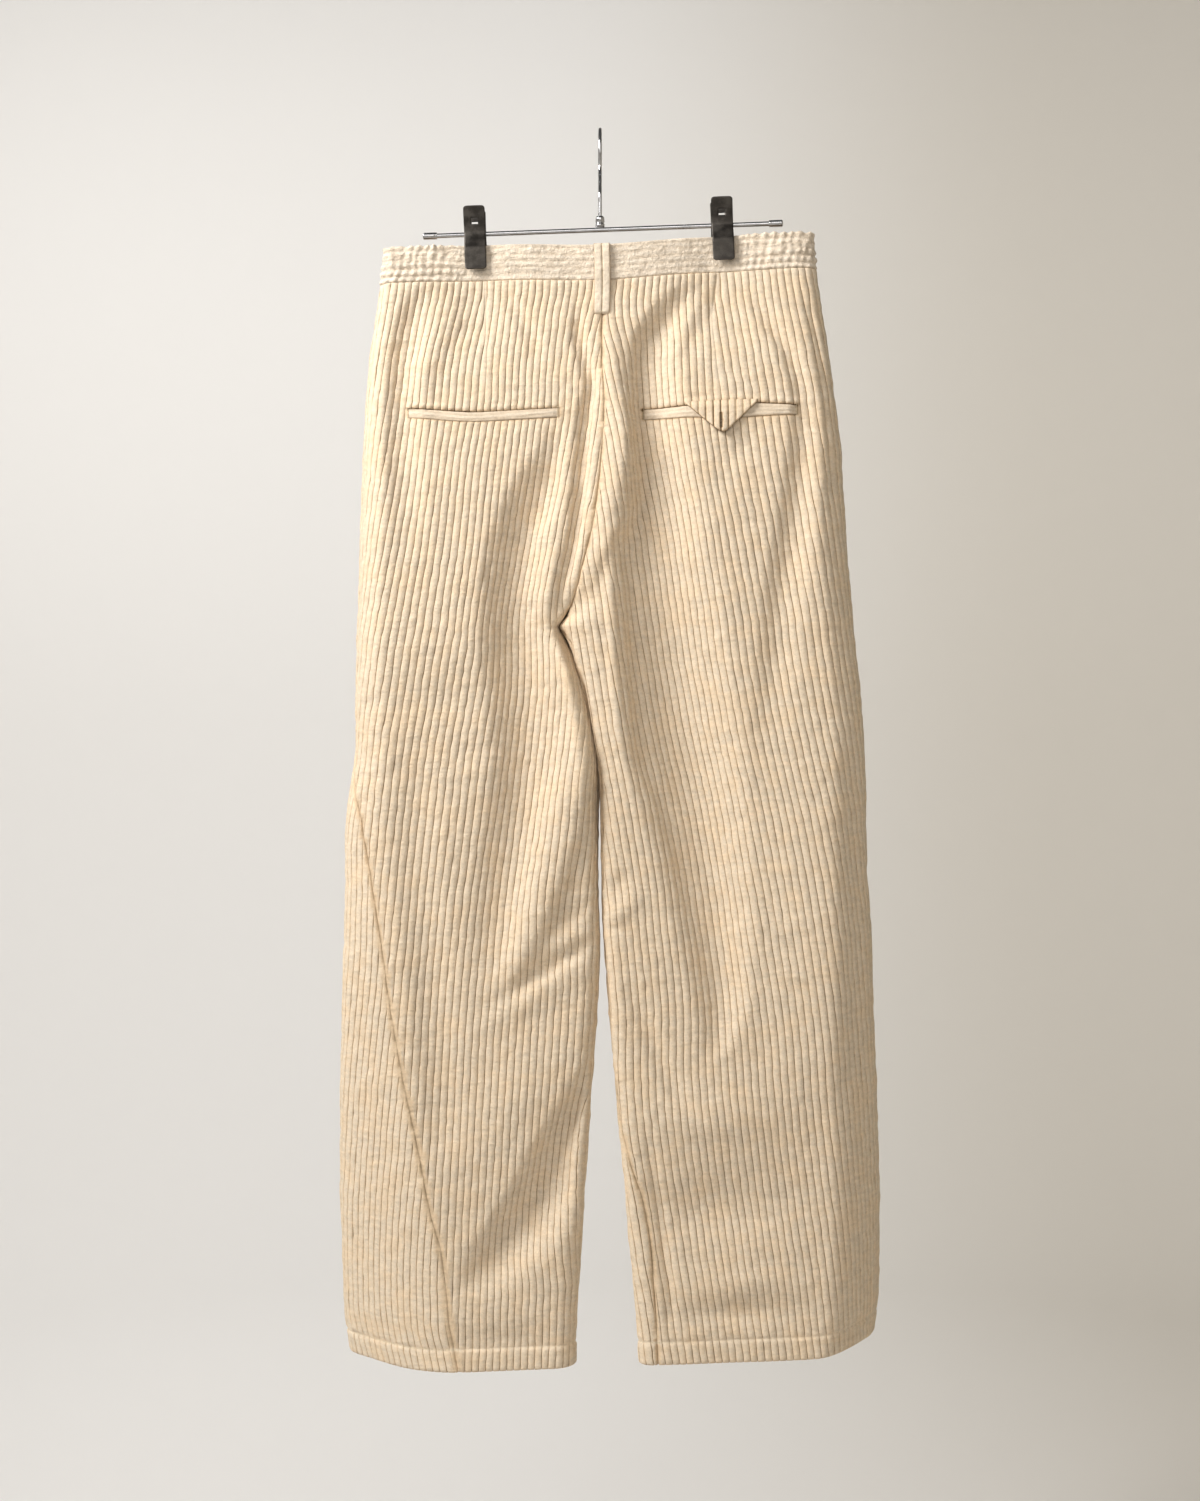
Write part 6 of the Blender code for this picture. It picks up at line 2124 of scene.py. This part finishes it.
    def build_hook(self) -> None:
        """Draw the wire along its path with a rounded tip, and turn the ferrule's collars."""
        path = self.hook_path()
        to_tip = (1 - np.linspace(0, 1, len(path))) * 150 * 1.45
        radius = self.wire / 2 * np.maximum(quarter_round(to_tip / 1.9), math.sqrt(0.02))
        points = tube_points(path * MM, radius * MM, self.wire_sides, np.array([1.0, 0.0, 0.0]))
        piece = make_piece("chrome_hook", points, tube_faces(len(path), self.wire_sides), CHROME)
        stand_for(piece, "hanger_hook")
        bottom = -self.bar_drop + self.bar_radius + self.clearance
        height = -self.ferrule_top - bottom
        r = self.ferrule_radius
        profile = np.array([(0, 0), (0, r - 0.5), (0.4, r), (height * 0.28, r),
                            (height * 0.34, r - 0.7), (height * 0.42, r - 0.7),
                            (height * 0.48, r - 0.1), (height * 0.8, r - 0.2),
                            (height - 0.5, r - 0.7), (height, r - 1.4), (height, 0)])
        piece = turned_piece("chrome_ferrule", profile, np.array([0.0, 0.0, bottom]),
                             np.array([0.0, 0.0, 1.0]), CHROME)
        stand_for(piece, "hanger_ferrule")

    def plate_reach(self, solid: str, height: Array) -> Array:
        """How far a plate's inner face stands from the middle plane, at heights over the bar.

        Where the solid's box reaches past the heel, the jaw lies a plate and a lip inside that
        reach. Otherwise it lies at the reach.

        Args:
            solid: the plate's solid, whose box gives the jaw's place.
            height: heights in mm.

        Returns:
            Distances in mm.
        """
        low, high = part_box(solid)
        jaw = max(abs(low[1]), abs(high[1])) / MM
        if jaw - self.plate > self.heel + 0.1:
            jaw = jaw - self.plate - self.plate_lip
        barrel = self.barrel_radius + self.clearance
        heights = (-self.plate_bottom, -self.plate_bottom + 4.0, -15.0, 0.0, 6.0, self.plate_top)
        reaches = (jaw + 1.0, jaw, jaw, barrel, self.barrel_radius + 3 * self.clearance, self.heel)
        return sum(np.interp(height + shift, heights, reaches) for shift in (-1.5, -0.5, 0.5, 1.5)) / 4

    def build_plate(self, name: str, face: Face, centre: float) -> None:
        """Press one plate: rounded corners, a square hole and edges that turn in.

        Args:
            name: the clip's side and the plate's, such as left_near.
            face: the side of the bar it is on.
            centre: where the clip sits along the bar.
        """
        solid = f"clip_{name}"
        top, bottom, half = self.plate_top, self.plate_bottom, self.plate_width / 2
        hole_low = self.hole_above_bar - self.hole_height / 2
        hole_top = self.hole_above_bar + self.hole_height / 2
        hole_half = self.hole_width / 2
        height = spaced((-bottom, -bottom + 3.2, 9), (-bottom + 4.4, hole_low, 32),
                        (hole_low + 0.7, hole_top, 8), (hole_top + 0.9, top - 3.2, 6),
                        (top - 2.8, top, 9))[:, None]
        t = spaced((-half, -half + 1.5, 4), (-half + 2.5, -hole_half, 5),
                   (-hole_half + 0.8, hole_half, 7), (hole_half + 1.4, half - 2.5, 4),
                   (half - 1.5, half, 4))[None]
        to_end = np.minimum(height + bottom, top - height)
        corner = self.plate_corner * round_turn(to_end / self.plate_corner)
        across = t * (half - corner) / half
        x = centre + across - math.sin(HANG_LEAN) * height
        z = -self.bar_drop + height + x * math.tan(HANG_LEAN)
        bevel = 0.45 * round_turn(np.minimum(half - np.abs(t), to_end))
        crown = 0.35 * (1 - (t / half) ** 2)
        reach = self.plate_reach(solid, height)
        grids = [np.stack(np.broadcast_arrays(x, face.value * (reach + out), z), axis=-1) * MM
                 for out in (self.plate - bevel + crown - 0.35, 0 * bevel)]
        middle_h = (height[:-1] + height[1:]) / 2 + 0 * t[:, :-1]
        middle_t = (t[:, :-1] + t[:, 1:]) / 2 + 0 * middle_h
        hole = ((np.abs(middle_t) < hole_half)
                & (np.abs(middle_h - self.hole_above_bar) < self.hole_height / 2))
        piece = make_piece(f"clip_{name}_plate", np.concatenate(grids).reshape(-1, 3),
                           shell_faces(len(height), t.shape[1], ~hole), DARK_CHROME)
        stand_for(piece, solid)

    def build_clip(self, name: str, centre: float) -> None:
        """Make a clip: near and far plate, and the spring's barrel round the bar.

        Args:
            name: left or right.
            centre: where it sits along the bar.
        """
        self.build_plate(f"{name}_near", Face.BACK, centre)
        self.build_plate(f"{name}_far", Face.FRONT, centre)
        half = self.barrel_length / 2
        bore = self.bar_radius + self.bore_gap
        turns = np.linspace(-half, half, 97)
        pitch = self.barrel_length / self.spring_turns
        wire = (self.barrel_radius - self.spring_groove
                + self.spring_groove * np.abs(np.sin(np.pi * turns / pitch)))
        profile = np.array([(-half, bore), *zip(turns, wire), (half, bore)])
        piece = turned_piece(f"chrome_spring_{name}", profile, self.bar_place(centre),
                             self.bar_way(), CHROME, 32)
        stand_for(piece, f"clip_{name}_barrel")


# ---------------- studio
@dataclass
class Studio:
    """The camera, a pale round backdrop with painted shade across it, and soft lights."""

    camera_distance: float = 1.9
    camera_height: float = -0.581
    frame_height: float = 1.411
    sensor_height: float = 24.0
    wall_radius: float = 3.4
    wall_height: float = 4.4
    wall_bend: float = 1.2
    wall_sides: int = 96
    floor: float = -1.65
    # Painted shade of the backdrop: its lit colour at -X and its shaded colour at +X.
    painted_lit_side: Colour = (0.80, 0.79, 0.775)
    painted_shaded_side: Colour = (0.64, 0.608, 0.552)
    light_colour: Colour = (1.0, 0.985, 0.965)

    def build(self) -> None:
        """Set the view, the backdrop, the lights and the sky."""
        self.add_camera()
        self.add_backdrop()
        self.add_light("key", (-1.5, -0.85, 0.95), (0, 0, -0.35), 0.8, 60)
        self.add_light("fill", (0.0, -2.4, 0.75), (0, 0, -0.45), 1.8, 16.5)
        self.add_light("behind", (-0.7, 1.2, 0.9), (0.1, 3.4, -0.3), 1.8, 33)
        sky = bpy.data.worlds.new("sky")
        sky.use_nodes = True
        shade = sky.node_tree.nodes["Background"]
        shade.inputs["Color"].default_value = (1.0, 0.98, 0.95, 1)
        shade.inputs["Strength"].default_value = 0.1
        scene = bpy.context.scene
        scene.world = sky
        scene.view_settings.view_transform = "Standard"
        scene.view_settings.look = "None"

    def add_camera(self) -> None:
        """Put the camera square to the garment's back, level, with the whole of it in frame."""
        data = bpy.data.cameras.new("camera")
        data.sensor_fit = "VERTICAL"
        data.sensor_height = self.sensor_height
        data.lens = self.sensor_height * self.camera_distance / self.frame_height
        camera = bpy.data.objects.new("camera", data)
        camera.location = (0, -self.camera_distance, self.camera_height)
        camera.rotation_euler = (math.pi / 2, 0, 0)
        bpy.context.scene.collection.objects.link(camera)
        bpy.context.scene.camera = camera

    def add_backdrop(self) -> None:
        """Turn a bowl about the vertical: a flat floor, a wide quarter round and a wall, painted
        lighter at -X and darker at +X as painted shade.
        """
        bend, sides = self.wall_bend, self.wall_sides
        angle = np.linspace(0, np.pi / 2, 24)
        flat = self.wall_radius - bend
        radius = np.concatenate([np.linspace(0.01, flat, 8)[:-1], flat + bend * np.sin(angle),
                                 [self.wall_radius]])
        height = np.concatenate([np.zeros(7), bend - bend * np.cos(angle), [self.wall_height]])
        around = np.linspace(0, 2 * np.pi, sides, endpoint=False)
        points = np.stack([radius[:, None] * np.cos(around), radius[:, None] * np.sin(around),
                           (height + self.floor)[:, None] + 0 * around], axis=-1)
        place = np.arange(points.shape[0] * sides).reshape(-1, sides)
        ahead = np.roll(place, -1, axis=1)
        quads = np.stack([place[:-1], place[1:], ahead[1:], ahead[:-1]], axis=-1).reshape(-1, 4)
        mesh = bpy.data.meshes.new("backdrop")
        mesh.from_pydata(points.reshape(-1, 3).tolist(), [], [*quads.tolist(), place[0].tolist()])
        mesh.shade_smooth()
        paint = bpy.data.materials.new("pale_wall_painted_shade")
        paint.use_nodes = True
        wires = Wiring(paint.node_tree)
        # Painted shade: the wall's colour runs from the lit side at -X to the shaded side at +X.
        across = wires.add("SeparateXYZ", {0: wires.place()}).outputs[0]
        colour = wires.blend(wires.spread(across, -0.2, 1.2, smooth=True), (*self.painted_lit_side, 1),
                             (*self.painted_shaded_side, 1))
        wires.feed(paint.node_tree.nodes["Principled BSDF"],
                   {"Base Color": colour, "Roughness": 0.95, "Specular IOR Level": 0.1})
        mesh.materials.append(paint)
        backdrop = bpy.data.objects.new("backdrop", mesh)
        bpy.context.scene.collection.objects.link(backdrop)

    def add_light(self, name: str, place: tuple[float, ...], aim: tuple[float, ...],
                  size: float, power: float) -> None:
        """A square soft light aimed at a point.

        Args:
            name: its name.
            place: where it hangs, in metres.
            aim: the point it faces.
            size: its side.
            power: its power in watts.
        """
        data = bpy.data.lights.new(name, "AREA")
        data.size = size
        data.energy = power
        data.color = self.light_colour
        light = bpy.data.objects.new(name, data)
        away = np.array(place) - np.array(aim)
        flat = math.hypot(away[0], away[1])
        light.location = place
        light.rotation_euler = (math.atan2(flat, away[2]), 0, math.atan2(away[0], -away[1]))
        light.visible_camera = False
        bpy.context.scene.collection.objects.link(light)


def main() -> None:
    """Build every piece of the trousers, then the hanger and the studio."""
    logging.basicConfig(level=logging.INFO, format="%(name)s: %(message)s")
    for side in Side:
        for face, across, row_step in ((Face.BACK, BACK_ACROSS, BACK_ROW_STEP),
                                       (Face.FRONT, FRONT_ACROSS, FRONT_ROW_STEP)):
            LegPanel(side, face, across, row_step).build()
    Hanger().build()
    for face, stretch, step in ((Face.BACK, "back", 0.55), (Face.FRONT, "front_left", 0.9),
                                (Face.FRONT, "front_right", 0.9)):
        Band(face, stretch, step).build()
    sewing = Sewing("cream_stitches")
    for face, x, solid in ((Face.BACK, LOOP_X[1], "belt_loop_back"),
                           (Face.FRONT, LOOP_X[0], "belt_loop_front_left"),
                           (Face.FRONT, LOOP_X[2], "belt_loop_front_right")):
        loop = BeltLoop(face, x, solid)
        loop.build()
        loop.sew(sewing)
    for line, solid in ((LEFT_POCKET, "pocket_welt_left"), (RIGHT_POCKET, "pocket_welt_right")):
        welt = Welt(line, solid)
        welt.build()
        welt.sew(sewing)
    flap = Flap()
    flap.build()
    whipping = Sewing("buttonhole_stitches", radius=0.2)
    flap.sew(whipping)
    whipping.build(CREAM_THREAD)
    Button("pocket_button", Face.BACK).build(sewing)
    Button("waist_button", Face.FRONT).build(sewing)
    seams = Seams(sewing)
    seams.hems()
    seams.fly()
    sewing.build(CREAM_THREAD)
    LOG.info("all stitches sewn")
    Studio().build()


if __name__ == "__main__":
    main()
